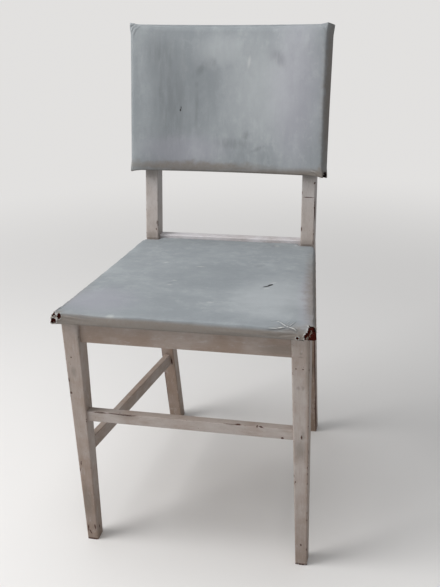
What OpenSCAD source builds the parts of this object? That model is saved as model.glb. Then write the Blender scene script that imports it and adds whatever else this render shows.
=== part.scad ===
// Painted wooden kitchen chair with a padded seat and a curved, padded backrest.
// The frame is pegged together and the pads are tacked over boards.
// Millimetres. +X is to the right as you look at the chair's front, +Y is towards
// its back, +Z is up, and the origin is on the floor under the middle of the chair.

/* [Overall] */
// Height of the seat's top face above the floor
seat_h = 448; // [400:1:540]
// Width across the front legs at the top
front_w = 396; // [330:1:480]
// Width across the back legs
back_w = 321; // [265:1:390]
// From the front face of the front legs to the front face of the back posts, at the seat
frame_d = 340; // [280:1:410]
// How far below the backrest's upper edge the back posts end
post_drop = 13; // [5:0.5:40]

/* [Front legs] */
// Width of a front leg at the top
leg_top_w = 28.5; // [24:0.5:35]
// Depth of a front leg at the top
leg_top_d = 33; // [28:0.5:40]
// Width of a front leg at the floor
leg_foot_w = 19.5; // [16:0.5:24]
// Depth of a front leg at the floor
leg_foot_d = 25; // [20:0.5:31]
// How much closer together the feet stand than the leg tops, on each side
toe_in = 3; // [0:0.5:8]
// Rounding of the legs' long edges
leg_edge = 2.5; // [1:0.25:4]

/* [Back legs] */
// Width of a back post
post_w = 24.5; // [20:0.5:30]
// Depth of a back post, measured level
post_d = 31; // [26:0.5:38]
// Width of a back leg at the floor
back_foot_w = 26; // [20:0.5:31]
// Depth of a back leg at the floor
back_foot_d = 26.5; // [22:0.5:32]
// How far the back feet stand behind the posts at seat height
rake = 74; // [40:1:90]
// Lean of the posts above the seat, in degrees
lean = 11.1; // [5:0.1:14]

/* [Rails] */
// Height of the front and side rails
rail_h = 38; // [32:1:46]
// Thickness of the front and side rails
rail_t = 20; // [16:0.5:24]
// How far the rails lie behind the legs' outer faces
rail_setback = 6; // [3:0.5:8]
// Thickness of the back rail
back_rail_t = 18; // [15:0.5:19]
// How far the back rail stands above the seat
back_rail_rise = 2; // [0:0.5:6]
// Rounding of the long edges of the rails and stretchers
bar_edge = 1.5; // [0.5:0.25:3]

/* [Stretchers] */
// Height of the front stretcher's top face
front_str_z = 261; // [220:1:320]
// Height of the front stretcher's section
front_str_h = 19; // [15:0.5:24]
// Thickness of the front stretcher
front_str_t = 15; // [11:0.5:18]
// How far the front stretcher lies behind the legs' front faces
front_str_setback = 5; // [2:0.5:6]
// Height of the side stretchers' top edge at the front legs
side_str_front_z = 199; // [150:1:230]
// Height of the side stretchers' top edge at the back legs
side_str_back_z = 174; // [130:1:230]
// Height of the side stretchers' section
side_str_h = 24; // [18:0.5:30]
// Thickness of the side stretchers
side_str_t = 12; // [9:0.5:15]
// Gap where the left stretcher has come away from the back leg
loose_gap = 2.5; // [0:0.5:5]

/* [Pegs and screws] */
// Diameter of the glued pegs in the rails
peg_d = 8; // [6:0.5:10]
// Length of the glued pegs in the rails
peg_l = 30; // [20:1:36]
// Length of the glued pegs at the ends of the side rails
side_peg_l = 21; // [16:1:24]
// Length of the glued pegs in the stretchers
str_peg_l = 24; // [16:1:28]
// Diameter of the glued pegs in the stretchers
str_peg_d = 6; // [5:0.5:8]
// Space round a peg in its hole
peg_clear = 0.05; // [0.02:0.01:0.1]
// Shank diameter of the wood screws
screw_d = 4; // [3:0.25:5]
// Head diameter of the wood screws
screw_head_d = 8; // [6:0.25:9]
// Space round a screw or tack in its hole
screw_clear = 0.05; // [0.02:0.01:0.1]

/* [Seat] */
// How far the seat stands out in front of the front legs
seat_front_over = 12; // [4:0.5:18]
// How far the seat stands out beyond the front legs at each side
seat_side_over = 10; // [3:0.5:15]
// How far the seat stands out beyond the back legs at each side
seat_back_over = 3; // [0:0.5:8]
// How far the seat reaches back between the posts
seat_tongue = 12; // [8:0.5:13]
// Radius of the seat's front corners, seen from above
seat_corner = 12; // [8:0.5:20]
// Thickness of the seat board
board_t = 8; // [6:0.5:12]
// Thickness of the fibre padding on the seat
seat_pad_t = 11.6; // [6:0.2:25]
// Thickness of the padding round the edge of the boards
edge_pad = 4; // [2:0.5:6]
// Thickness of the vinyl cover
cover_t = 1.2; // [0.8:0.1:2]
// Space between the seat and the posts it is notched round
fit_gap = 0.5; // [0.2:0.1:1.5]
// Width of the cover turned under the seat board
seat_turn_in = 52; // [48:1:60]

/* [Backrest] */
// Width of the backrest
back_pad_w = 351.6; // [300:0.2:380]
// Height of the backrest along its lean
back_pad_h = 259.5; // [200:0.5:320]
// From seat height up to the backrest's lower edge, along the posts
back_pad_rise = 127.5; // [90:0.5:180]
// How far the ends of the backrest curve forward of its middle
back_sag = 19.4; // [10:0.2:30]
// How far the ends' front face stands in front of the posts
back_forward = 38.4; // [36:0.2:42]
// Thickness of the backrest's padding
back_pad_t = 20; // [12:0.5:21]
// Thickness of the curved board
back_board_t = 9; // [6:0.5:10]
// Thickness of the lining on the back of the backrest
lining_t = 1.6; // [1:0.1:3]
// Width of the cover turned in behind the curved board
back_turn_in = 22; // [15:1:40]
// How far the lining lies inside the backrest's edge
lining_inset = 6; // [3:0.5:12]
// How far the backrest hangs out of square, in degrees
back_skew = 0.45; // [0:0.05:1]
// Radius of the backrest's front edges
back_edge = 9; // [4:0.5:12]

/* [Tacks] */
// Head diameter of the tacks
tack_d = 5; // [3:0.5:7]
// Distance from one tack to the next, at most
tack_step = 42; // [30:1:70]
// Length of a tack in the seat board
tack_l = 6; // [4:0.5:7]
// Length of a tack in the backrest's board
back_tack_l = 5; // [3:0.5:6]
// How far the seat's tacks lie inside the rails
tack_inward = 8; // [5:0.5:12]
// How far the backrest's tacks lie inside its edge
back_tack_inset = 15; // [10:0.5:18]

/* [Hidden] */

// Fineness of large arcs and of small holes
arc_fn = 720;
hole_fn = 48;
// Facets in each rounded edge of a leg, rail or stretcher
edge_steps = 6;

// The two sides, as seen from the front
left = -1;
right = 1;

// The posts end a little below the backrest's upper edge
post_rise = (back_pad_rise + back_pad_h) * cos(lean) - post_drop;
post_top = seat_h + post_rise;

// The posts stand behind the leg line, so the chair's depth is taken from
// whichever reaches furthest back, the feet or the post tops
post_run = tan(lean) * post_rise;
back_reach = frame_d + max(rake + back_foot_d, post_run + post_d);
chair_d = seat_front_over + back_reach;

// Depth stations
front_y = seat_front_over - chair_d / 2;
post_y = front_y + frame_d;
foot_y = post_y + rake;

// Height stations
rail_top = seat_h - 2 * cover_t - seat_pad_t - board_t;
rail_low = rail_top - rail_h;
board_z = rail_top + cover_t;

// Plan of the side rails: a straight line from the front legs to the back legs
rail_front_y = front_y + leg_top_d;
rail_out_front = front_w / 2 - rail_setback;
rail_out_back = back_w / 2 - rail_setback / 2;
rail_turn = atan2(rail_out_front - rail_out_back, post_y - rail_front_y);

// Middles of the side stretchers' ends, and how the stretchers turn in and fall
str_front_z = side_str_front_z - side_str_h / 2;
str_back_z = side_str_back_z - side_str_h / 2;
str_front_y = front_leg_back_y(str_front_z);
str_back_y = back_leg_y(str_back_z);
str_front_x = front_leg_inner_x(str_front_z) + side_str_t / 2;
str_back_x = back_w / 2 - back_foot_w / 2;
str_turn = atan2(str_front_x - str_back_x, str_back_y - str_front_y);
str_run = (str_back_y - str_front_y) / cos(str_turn);
str_fall = atan2(str_front_z - str_back_z, str_run);

// Backrest layers, as radii about its upright axis, with a hair of air between
// the curved board, the turned-in cover and the lining
layer_gap = 0.02;
back_r = (pow(back_pad_w / 2, 2) + pow(back_sag, 2)) / (2 * back_sag);
back_axis_n = back_sag - back_forward - back_r;
padding_r = back_r + cover_t;
back_board_r = padding_r + back_pad_t;
turn_in_r = back_board_r + back_board_t + layer_gap;
lining_r = turn_in_r + cover_t + layer_gap;
back_face_r = lining_r + lining_t;

// Corner blocks: height, and length of the sides that lie on the rails
block_h = 26;
block_leg = 52;
block_front_y = front_y + rail_setback + rail_t;
block_back_y = post_y + seat_tongue;
block_front_x = rail_out_x(block_front_y) - rail_t;
block_back_x = rail_out_x(block_back_y) - rail_t;

// Wood left over the tip of a screw that ends inside a board
tip_wood = 2;

// Screws from the corner blocks into the rails: length, depth of the block left
// under the head, and places along the rails from the leg and from the corner
block_screw_l = 26;
block_screw_grip = 14;
block_front_screw_x = front_w / 2 - leg_top_w - 22;
block_back_screw_x = block_back_x - 30;

// Screws up into the seat board, set in from each block's corner
seat_screw_in_x = 14;
seat_screw_in_y = 17;
seat_screw_l = block_h + cover_t + board_t - tip_wood;

// Screws through the posts, which end in the curved board
post_screw_x = back_w / 2 - post_w / 2;
post_screw_inset = 50;
post_screw_l = post_d * cos(lean)
    - (back_axis_n + sqrt(pow(turn_in_r, 2) - pow(post_screw_x, 2)))
    + back_board_t - tip_wood;

// Screw heads, and the bore through which a sunken head is reached
screw_head_h = screw_head_d / 4;
screw_access = 20;

// Tacks
tack_shank_r = 0.7;
tack_head_h = 0.8;

// The front rail's pegs stand forward of its middle and the side rails' pegs
// stand higher, with some wood left over them, so that they pass in the leg
front_peg_forward = 3;
side_peg_cover = 0.5;
side_peg_lift = rail_h / 4 - peg_d / 2 - side_peg_cover;

// Bites broken out of the right foot's lower edge: across from its outer face,
// back from its front face, and radius, all centred a little below the floor
foot_bites = [[-3, 0, 3.2], [-9, -0.5, 2.4], [-15.5, -0.3, 3.6], [0.4, 8, 3.4]];
bite_below = 0.8;

// How far a cut runs past the face that it opens, and a hair to the same end
cut_over = 1;
eps = 0.01;

// ---------------------------------------------------------------- helpers

// Outline of a rectangle between the corners lo and hi, its own corners rounded
function rounded_rect(lo, hi, r) = [
    for (corner = [0:3])
        let (
            cx = corner == 0 || corner == 3 ? hi[0] - r : lo[0] + r,
            cy = corner < 2 ? hi[1] - r : lo[1] + r
        )
        for (step = [0:edge_steps])
            let (a = 90 * corner + 90 * step / edge_steps)
            [cx + r * cos(a), cy + r * sin(a)]
];

// Ring of points round a level section of a leg, whose corners in plan are lo
// and hi, at height z
function leg_ring(lo, hi, z) = [
    for (p = rounded_rect(lo, hi, leg_edge)) [p[0], p[1], z]
];

// Bar along +Y whose section, across and up, lies between the corners lo and hi
module bar(lo, hi, from, to) {
    translate([0, to, 0])
        rotate([90, 0, 0])
            linear_extrude(height = to - from)
                polygon(rounded_rect(lo, hi, bar_edge));
}

// Bar across the chair, whose section, back and up, lies between lo and hi
module cross_bar(lo, hi, half_length) {
    rotate([0, 0, -90])
        bar([-hi[0], lo[1]], [-lo[0], hi[1]], -half_length, half_length);
}

// Solid skinned over a stack of rings, lowest first
module skinned(rings) {
    n = len(rings[0]);
    polyhedron(
        points = [for (ring = rings) for (p = ring) p],
        faces = concat(
            [[for (i = [0:n - 1]) i]],
            [
                for (k = [0:len(rings) - 2])
                    for (i = [0:n - 1])
                        let (j = (i + 1) % n)
                        each [
                            [k * n + j, k * n + i, (k + 1) * n + i],
                            [k * n + j, (k + 1) * n + i, (k + 1) * n + j]
                        ]
            ],
            [[for (i = [n - 1:-1:0]) (len(rings) - 1) * n + i]]
        ),
        convexity = 4
    );
}

// Front leg at the chair's right (side = 1) or left (side = -1), with no holes.
// Where it is cut out of a rail, its taper runs on over the rail's top
module front_leg_blank(side, over = 0) {
    z = rail_top + over;
    out_foot = front_w / 2 - toe_in;
    out_top = out_foot + toe_in * z / rail_top;
    mirror([side == left ? 1 : 0, 0, 0])
        skinned([
            leg_ring(
                [out_foot - leg_foot_w, front_y],
                [out_foot, front_y + leg_foot_d],
                0
            ),
            leg_ring(
                [front_leg_inner_x(z), front_y],
                [out_top, front_leg_back_y(z)],
                z
            )
        ]);
}

// Back leg and post in one piece, bent at seat height, with no holes
module back_leg_blank(side) {
    out = back_w / 2;
    top_y = post_y + post_run;
    mirror([side == left ? 1 : 0, 0, 0])
        skinned([
            leg_ring([out - back_foot_w, foot_y], [out, foot_y + back_foot_d], 0),
            leg_ring([out - post_w, post_y], [out, post_y + post_d], seat_h),
            leg_ring([out - post_w, top_y], [out, top_y + post_d], post_top)
        ]);
}

// Front face of a back leg below the seat, at height z
function back_leg_y(z) = post_y + rake * (seat_h - z) / seat_h;

// Back face of a front leg at height z
function front_leg_back_y(z) =
    front_y + leg_foot_d + (leg_top_d - leg_foot_d) * z / rail_top;

// Inner face of a front leg at height z
function front_leg_inner_x(z) =
    front_w / 2 - toe_in - leg_foot_w + (toe_in + leg_foot_w - leg_top_w) * z / rail_top;

// Outer face of a side rail at depth y
function rail_out_x(y) =
    rail_out_front
    + (rail_out_back - rail_out_front) * (y - rail_front_y) / (post_y - rail_front_y);

// Things set out in the leaning plane of the posts: origin at seat height on
// the posts' front faces, Z up the posts and Y square to them
module on_posts() {
    translate([0, post_y, seat_h])
        rotate([-lean, 0, 0])
            children();
}

// Things set out on the backrest, whose own middle is the origin
module on_backrest() {
    on_posts()
        translate([0, 0, back_pad_rise + back_pad_h / 2])
            rotate([0, back_skew, 0])
                children();
}

// Angle about the backrest's upright axis of an arc of length s on its front
function arc_angle(s) = s / back_r * 180 / PI;

// Half of the backrest's spread about that axis, drawn in by inset at each end
function half_spread(inset) = asin(back_pad_w / 2 / back_r) - arc_angle(inset);

// Curved slab of the backrest between two radii, drawn in by inset all round
module curved_slab(r_in, r_out, inset) {
    half = half_spread(inset);
    translate([0, back_axis_n, 0])
        rotate([0, 0, 90 - half])
            rotate_extrude(angle = 2 * half, $fn = arc_fn)
                translate([r_in, inset - back_pad_h / 2])
                    square([r_out - r_in, back_pad_h - 2 * inset]);
}

// Curved block with its front edges rounded, for the outside of the cover
module rounded_slab(r_in, r_out, inset, edge) {
    half = half_spread(inset);
    tall = back_pad_h - 2 * inset;
    translate([0, back_axis_n, 0])
        rotate([0, 0, 90 - half])
            rotate_extrude(angle = 2 * half, $fn = arc_fn)
                translate([r_in, -tall / 2])
                    union() {
                        translate([edge, 0])
                            square([r_out - r_in - edge, tall]);
                        translate([0, edge])
                            square([edge + eps, tall - 2 * edge]);
                        for (y = [edge, tall - edge]) {
                            translate([edge, y])
                                circle(r = edge, $fn = hole_fn);
                        }
                    }
}

// Outline of the seat seen from above, drawn in by inset all round
function seat_outline(inset) =
    let (
        y0 = front_y - seat_front_over + inset,
        y1 = post_y - fit_gap - inset,
        y2 = post_y + seat_tongue - inset,
        slope = (back_w / 2 + seat_back_over - front_w / 2 - seat_side_over)
            / (frame_d + seat_front_over),
        draw = inset * sqrt(1 + slope * slope),
        x0 = front_w / 2 + seat_side_over - draw + slope * inset,
        x1 = back_w / 2 + seat_back_over - draw - slope * (inset + fit_gap),
        x2 = back_w / 2 - post_w - fit_gap - inset,
        r = max(seat_corner - inset, 1),
        right_half = concat(
            [for (a = [-90:15:0]) [x0 - r + r * cos(a), y0 + r + r * sin(a)]],
            [[x1, y1], [x2, y1], [x2, y2]]
        ),
        last = len(right_half) - 1
    )
    concat(right_half, [for (i = [last:-1:0]) [-right_half[i][0], right_half[i][1]]]);

module seat_slab(z, h, inset) {
    translate([0, 0, z])
        linear_extrude(height = h)
            polygon(seat_outline(inset));
}

// A wood screw with a countersunk head: tip up, head's flat face at the origin.
// Its hole has some clearance, and runs on below the head
module screw(length, clear) {
    cylinder(r = screw_d / 2 + clear, h = length + clear, $fn = hole_fn);
    cylinder(
        r1 = screw_head_d / 2 + clear,
        r2 = screw_d / 2 + clear,
        h = screw_head_h,
        $fn = hole_fn
    );
    if (clear > 0) {
        translate([0, 0, -screw_access])
            cylinder(r = screw_head_d / 2 + clear, h = screw_access, $fn = hole_fn);
    }
}

// A tack with its shank pointing up and its head below the origin
module tack(length, clear) {
    cylinder(r = tack_shank_r + clear, h = length + clear, $fn = 24);
    if (clear == 0) {
        translate([0, 0, -tack_head_h])
            cylinder(
                r1 = tack_d / 2 - tack_head_h,
                r2 = tack_d / 2,
                h = tack_head_h,
                $fn = 24
            );
    }
}

// ------------------------------------------------------- pegs and fastenings

// One glued peg lying along a direction in plan, centred on a joint
module peg(at, turn, pitch, d, length, clear) {
    translate(at)
        rotate([0, 90 + pitch, turn])
            cylinder(
                r = d / 2 + clear,
                h = length + 2 * clear,
                center = true,
                $fn = hole_fn
            );
}

// Pegs of the four rails; clear is the space left round them in the holes
module rail_peg_set(clear) {
    upper = rail_top - rail_h / 4;
    lower = rail_low + rail_h / 4;
    front_peg_y = front_y + rail_setback + rail_t / 2 - front_peg_forward;
    for (side = [left, right]) {
        mirror([side == left ? 1 : 0, 0, 0]) {
            for (z = [lower, upper]) {
                peg([front_leg_inner_x(z), front_peg_y, z], 0, 0, peg_d, peg_l, clear);
                peg(
                    [
                        rail_out_x(rail_front_y) - rail_t / 2,
                        rail_front_y,
                        z + side_peg_lift
                    ],
                    90 + rail_turn, 0, peg_d, side_peg_l, clear
                );
                peg(
                    [rail_out_x(back_leg_y(z)) - rail_t / 2, back_leg_y(z), z],
                    90 + rail_turn, 0, peg_d, side_peg_l, clear
                );
            }
            for (z = [(lower + upper) / 2, seat_h - peg_d]) {
                peg(
                    [back_w / 2 - post_w, post_y + seat_tongue + back_rail_t / 2, z],
                    0, 0, peg_d, peg_l, clear
                );
            }
        }
    }
}

// Pegs of the three stretchers
module stretcher_peg_set(clear) {
    for (side = [left, right]) {
        mirror([side == left ? 1 : 0, 0, 0]) {
            peg(
                [
                    front_leg_inner_x(front_str_z - front_str_h / 2),
                    front_y + front_str_setback + front_str_t / 2,
                    front_str_z - front_str_h / 2
                ],
                0, 0, str_peg_d, str_peg_l, clear
            );
            for (at = [[str_front_x, str_front_y, str_front_z],
                       [str_back_x, str_back_y, str_back_z]]) {
                peg(at, 90 + str_turn, str_fall, str_peg_d, str_peg_l, clear);
            }
        }
    }
}

// Screws that hold the corner blocks to the rails
module block_screw_set(clear) {
    z = rail_top - block_h / 2;
    for (side = [left, right]) {
        mirror([side == left ? 1 : 0, 0, 0]) {
            translate([block_front_screw_x, block_front_y + block_screw_grip, z])
                rotate([90, 0, 0])
                    screw(block_screw_l, clear);
            translate([block_back_screw_x, block_back_y - block_screw_grip, z])
                rotate([-90, 0, 0])
                    screw(block_screw_l, clear);
        }
    }
}

// Screws that go up through the corner blocks into the seat board
module seat_screw_set(clear) {
    for (side = [left, right]) {
        mirror([side == left ? 1 : 0, 0, 0]) {
            for (at = [[block_front_x, block_front_y + seat_screw_in_y],
                       [block_back_x, block_back_y - seat_screw_in_y]]) {
                translate([at[0] - seat_screw_in_x, at[1], rail_top - block_h])
                    screw(seat_screw_l, clear);
            }
        }
    }
}

// Screws through the posts into the curved board
module back_screw_set(clear) {
    on_posts() {
        for (side = [left, right]) {
            for (w = [back_pad_rise + post_screw_inset,
                      back_pad_rise + back_pad_h - post_screw_inset]) {
                translate([side * post_screw_x, post_d * cos(lean), w])
                    rotate([90, 0, 0])
                        screw(post_screw_l, clear);
            }
        }
    }
}

// Positions spread evenly from a to b, no further apart than the tack step
function spread(a, b) =
    let (n = max(1, ceil(abs(b - a) / tack_step)))
    [for (i = [0:n]) a + (b - a) * i / n];

// Tacks under the seat board, in the turned-under cover, just inside the rails
module seat_tack_set(clear) {
    front_x = block_front_x - block_leg - tack_d;
    back_x = block_back_x - block_leg - tack_d;
    side_y0 = block_front_y + block_leg + tack_d;
    side_y1 = block_back_y - block_leg - tack_d;
    for (x = spread(-front_x, front_x)) {
        translate([x, block_front_y + tack_inward, rail_top])
            tack(cover_t + tack_l, clear);
    }
    for (x = spread(-back_x, back_x)) {
        translate([x, block_back_y - tack_inward, rail_top])
            tack(cover_t + tack_l, clear);
    }
    for (side = [left, right]) {
        for (y = spread(side_y0, side_y1)) {
            translate([side * (rail_out_x(y) - rail_t - tack_inward), y, rail_top])
                tack(cover_t + tack_l, clear);
        }
    }
}

// Tacks along the top and bottom of the lining on the back of the backrest
module back_tack_set(clear) {
    arc = half_spread(back_tack_inset) / arc_angle(1);
    high = back_pad_h / 2 - back_tack_inset;
    on_backrest()
        translate([0, back_axis_n, 0]) {
            for (s = spread(-arc, arc)) {
                for (z = [-high, high]) {
                    rotate([0, 0, -arc_angle(s)])
                        translate([0, back_face_r, z])
                            rotate([90, 0, 0])
                                tack(lining_t + cover_t + back_tack_l, clear);
                }
            }
        }
}

// ---------------------------------------------------------------- frame

module front_leg(side) {
    color("gainsboro")
        difference() {
            front_leg_blank(side);
            rail_peg_set(peg_clear);
            stretcher_peg_set(peg_clear);
            if (side == right) foot_chips();
        }
}

// Bites that have broken out of the right foot's lower edge
module foot_chips() {
    x = front_w / 2 - toe_in;
    for (bite = foot_bites) {
        translate([x + bite[0], front_y + bite[1], -bite_below])
            sphere(r = bite[2], $fn = 32);
    }
}

module back_leg(side) {
    color("gainsboro")
        difference() {
            back_leg_blank(side);
            rail_peg_set(peg_clear);
            stretcher_peg_set(peg_clear);
            back_screw_set(screw_clear);
            backrest_seat(side);
        }
}

// Flat planed on a post for the back of the backrest to bear on
module backrest_seat(side) {
    high = back_pad_h + 2 * fit_gap;
    turn = asin(post_screw_x / back_face_r);
    on_backrest()
        translate([0, back_axis_n, 0])
            rotate([0, 0, -side * turn])
                translate([-2 * post_w, back_face_r - post_d, -high / 2])
                    cube([4 * post_w, post_d, high]);
}

module rail_front() {
    color("gainsboro")
        difference() {
            cross_bar(
                [front_y + rail_setback, rail_low],
                [front_y + rail_setback + rail_t, rail_top],
                (front_w - leg_top_w) / 2
            );
            front_leg_blank(left, cut_over);
            front_leg_blank(right, cut_over);
            rail_peg_set(peg_clear);
            block_screw_set(screw_clear);
        }
}

module rail_back() {
    color("gainsboro")
        difference() {
            cross_bar(
                [post_y + seat_tongue, rail_low],
                [post_y + seat_tongue + back_rail_t, seat_h + back_rail_rise],
                (back_w - post_w) / 2
            );
            back_leg_blank(left);
            back_leg_blank(right);
            rail_peg_set(peg_clear);
            block_screw_set(screw_clear);
        }
}

// A side rail runs from the front leg's back face to the back leg's front face
module side_rail(side) {
    color("gainsboro")
        mirror([side == left ? 1 : 0, 0, 0])
            difference() {
                intersection() {
                    translate([rail_out_front, rail_front_y, 0])
                        rotate([0, 0, rail_turn])
                            bar(
                                [-rail_t * cos(rail_turn), rail_low],
                                [0, rail_top],
                                -leg_top_d,
                                frame_d + rake
                            );
                    between_legs(rail_low - cut_over, rail_top + cut_over, 0);
                }
                rail_peg_set(peg_clear);
            }
}

// The space at each side between the front and back legs, from height z0 to z1
// and short of the back leg by a gap
module between_legs(z0, z1, gap) {
    rotate([90, 0, 90])
        translate([0, 0, -front_w])
            linear_extrude(height = 2 * front_w)
                polygon([
                    [front_leg_back_y(z0), z0],
                    [back_leg_y(z0) - gap, z0],
                    [back_leg_y(z1) - gap, z1],
                    [front_leg_back_y(z1), z1]
                ]);
}

// The front stretcher's ends are cut to the taper of the legs
module stretcher_front() {
    y0 = front_y + front_str_setback;
    z0 = front_str_z - front_str_h - cut_over;
    z1 = front_str_z + cut_over;
    color("gainsboro")
        difference() {
            intersection() {
                cross_bar(
                    [y0, front_str_z - front_str_h],
                    [y0 + front_str_t, front_str_z],
                    front_w / 2
                );
                translate([0, y0 + front_str_t + cut_over, 0])
                    rotate([90, 0, 0])
                        linear_extrude(height = front_str_t + 2 * cut_over)
                            polygon([
                                [-front_leg_inner_x(z0), z0],
                                [front_leg_inner_x(z0), z0],
                                [front_leg_inner_x(z1), z1],
                                [-front_leg_inner_x(z1), z1]
                            ]);
            }
            stretcher_peg_set(peg_clear);
        }
}

// A side stretcher, which stops short of the back leg where its joint has opened
module side_stretcher(side, gap) {
    half_t = side_str_t / 2 * cos(str_turn);
    half_h = side_str_h / 2 * cos(str_fall);
    color("gainsboro")
        mirror([side == left ? 1 : 0, 0, 0])
            difference() {
                intersection() {
                    translate([str_front_x, str_front_y, str_front_z])
                        rotate([-str_fall, 0, str_turn])
                            bar(
                                [-half_t, -half_h],
                                [half_t, half_h],
                                -leg_top_d,
                                str_run + leg_top_d
                            );
                    between_legs(
                        side_str_back_z - side_str_h - leg_top_d,
                        side_str_front_z + leg_top_d,
                        gap
                    );
                }
                stretcher_peg_set(peg_clear);
            }
}

// Triangular block glued and screwed in a front corner, cut round the leg
module corner_block_front(side) {
    x = block_front_x;
    y = block_front_y;
    color("tan")
        mirror([side == left ? 1 : 0, 0, 0])
            difference() {
                translate([0, 0, rail_top - block_h])
                    linear_extrude(height = block_h)
                        polygon([
                            [x, y],
                            [x - block_leg, y],
                            [rail_out_x(y + block_leg) - rail_t, y + block_leg]
                        ]);
                translate([front_w / 2 - leg_top_w - fit_gap, front_y, rail_low])
                    cube([leg_top_w, leg_top_d + fit_gap, rail_h]);
                block_screw_set(screw_clear);
                seat_screw_set(screw_clear);
            }
}

// Triangular block in a back corner
module corner_block_back(side) {
    x = block_back_x;
    y = block_back_y;
    color("tan")
        mirror([side == left ? 1 : 0, 0, 0])
            difference() {
                translate([0, 0, rail_top - block_h])
                    linear_extrude(height = block_h)
                        polygon([
                            [x, y],
                            [x - block_leg, y],
                            [rail_out_x(y - block_leg) - rail_t, y - block_leg]
                        ]);
                translate([back_w / 2 - post_w - fit_gap, post_y - fit_gap, rail_low])
                    cube([post_w * 2, post_d * 2, rail_h]);
                back_leg_blank(right);
                block_screw_set(screw_clear);
                seat_screw_set(screw_clear);
            }
}

module rail_pegs() {
    color("burlywood")
        rail_peg_set(0);
}

module stretcher_pegs() {
    color("burlywood")
        stretcher_peg_set(0);
}

module block_screws() {
    color("darkgray")
        block_screw_set(0);
}

// ---------------------------------------------------------------- seat

module seat_board() {
    color("tan")
        difference() {
            seat_slab(board_z, board_t, cover_t + edge_pad);
            seat_screw_set(screw_clear);
            seat_tack_set(screw_clear);
        }
}

// Fibre padding over the board and round its edge
module seat_padding() {
    color("saddlebrown")
        difference() {
            seat_slab(board_z, board_t + seat_pad_t, cover_t);
            translate([0, 0, -eps])
                seat_slab(board_z, board_t + eps, cover_t + edge_pad);
        }
}

// Vinyl skin, wrapped over the edge and turned under the board
module seat_cover() {
    color("slategray")
        difference() {
            seat_slab(rail_top, seat_h - rail_top, 0);
            seat_slab(board_z, board_t + seat_pad_t, cover_t);
            seat_slab(rail_top - cut_over, cover_t + cut_over + eps, seat_turn_in);
            seat_screw_set(screw_clear);
            seat_tack_set(screw_clear);
        }
}

module seat_tacks() {
    color("dimgray")
        seat_tack_set(0);
}

module seat_screws() {
    color("darkgray")
        seat_screw_set(0);
}

// ---------------------------------------------------------------- backrest

module back_board() {
    color("tan")
        difference() {
            on_backrest()
                curved_slab(back_board_r, turn_in_r - layer_gap, cover_t + edge_pad);
            back_screw_set(screw_clear);
            back_tack_set(screw_clear);
        }
}

// Fibre padding in front of the curved board and round its edge
module back_padding() {
    color("saddlebrown")
        on_backrest()
            difference() {
                rounded_slab(padding_r, turn_in_r - layer_gap, cover_t, back_edge - cover_t);
                curved_slab(back_board_r, turn_in_r + cut_over, cover_t + edge_pad);
            }
}

// Vinyl skin round the front and the edges, turned in behind the board
module back_cover() {
    color("slategray")
        difference() {
            on_backrest()
                difference() {
                    rounded_slab(back_r, lining_r - layer_gap, 0, back_edge);
                    rounded_slab(padding_r, turn_in_r, cover_t, back_edge - cover_t);
                    curved_slab(turn_in_r - eps, lining_r + cut_over, back_turn_in);
                }
            back_screw_set(screw_clear);
            back_tack_set(screw_clear);
        }
}

// Vinyl-faced card that closes the back of the backrest
module back_lining() {
    color("slategray")
        difference() {
            on_backrest()
                curved_slab(lining_r, back_face_r, lining_inset);
            back_screw_set(screw_clear);
            back_tack_set(screw_clear);
        }
}

module back_tacks() {
    color("dimgray")
        back_tack_set(0);
}

module back_screws() {
    color("darkgray")
        back_screw_set(0);
}

front_leg(left);  // leg_front_left
front_leg(right);  // leg_front_right
back_leg(left);  // leg_back_left
back_leg(right);  // leg_back_right
rail_front();
rail_back();
side_rail(left);  // rail_left
side_rail(right);  // rail_right
stretcher_front();
side_stretcher(left, loose_gap);  // stretcher_left
side_stretcher(right, 0);  // stretcher_right
corner_block_front(left);  // corner_block_front_left
corner_block_front(right);  // corner_block_front_right
corner_block_back(left);  // corner_block_back_left
corner_block_back(right);  // corner_block_back_right
seat_board();
seat_padding();
seat_cover();
seat_tacks();
back_board();
back_padding();
back_cover();
back_lining();
back_tacks();
rail_pegs();
stretcher_pegs();
block_screws();
seat_screws();
back_screws();
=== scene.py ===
# %% [markdown]
# # A worn kitchen chair
# The real chair is a pegged wooden frame under old cream paint, with a seat and a backrest
# covered in blue-grey vinyl. The wooden parts come from the CAD model as they are and only
# get their finish here. The padded parts are modelled here, because vinyl over fibre has
# soft edges, creases and torn corners that a plain solid can't show.

# %% Load the frame
import math
import random

import bmesh
import bpy
from mathutils import Matrix, Vector, bvhtree, noise


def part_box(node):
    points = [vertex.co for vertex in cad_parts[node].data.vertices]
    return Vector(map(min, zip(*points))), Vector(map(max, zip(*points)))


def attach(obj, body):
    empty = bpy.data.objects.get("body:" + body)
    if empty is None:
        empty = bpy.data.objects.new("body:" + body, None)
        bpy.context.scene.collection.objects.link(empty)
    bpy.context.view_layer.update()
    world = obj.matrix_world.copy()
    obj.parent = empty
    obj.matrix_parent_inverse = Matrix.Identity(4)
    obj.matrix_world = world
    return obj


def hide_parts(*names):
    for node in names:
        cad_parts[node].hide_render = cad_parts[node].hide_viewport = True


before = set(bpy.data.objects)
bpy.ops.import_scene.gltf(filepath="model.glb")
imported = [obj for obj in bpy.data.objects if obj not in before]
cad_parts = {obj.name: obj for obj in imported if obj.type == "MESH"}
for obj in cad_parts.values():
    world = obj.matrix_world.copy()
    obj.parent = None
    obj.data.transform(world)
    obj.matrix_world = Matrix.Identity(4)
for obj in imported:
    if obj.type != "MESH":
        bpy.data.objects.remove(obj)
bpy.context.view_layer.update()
scene = bpy.context.scene
MM = 0.001


def placed(name, data):
    """Adds an object with this data to the scene."""
    thing = bpy.data.objects.new(name, data)
    scene.collection.objects.link(thing)
    return thing


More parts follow.
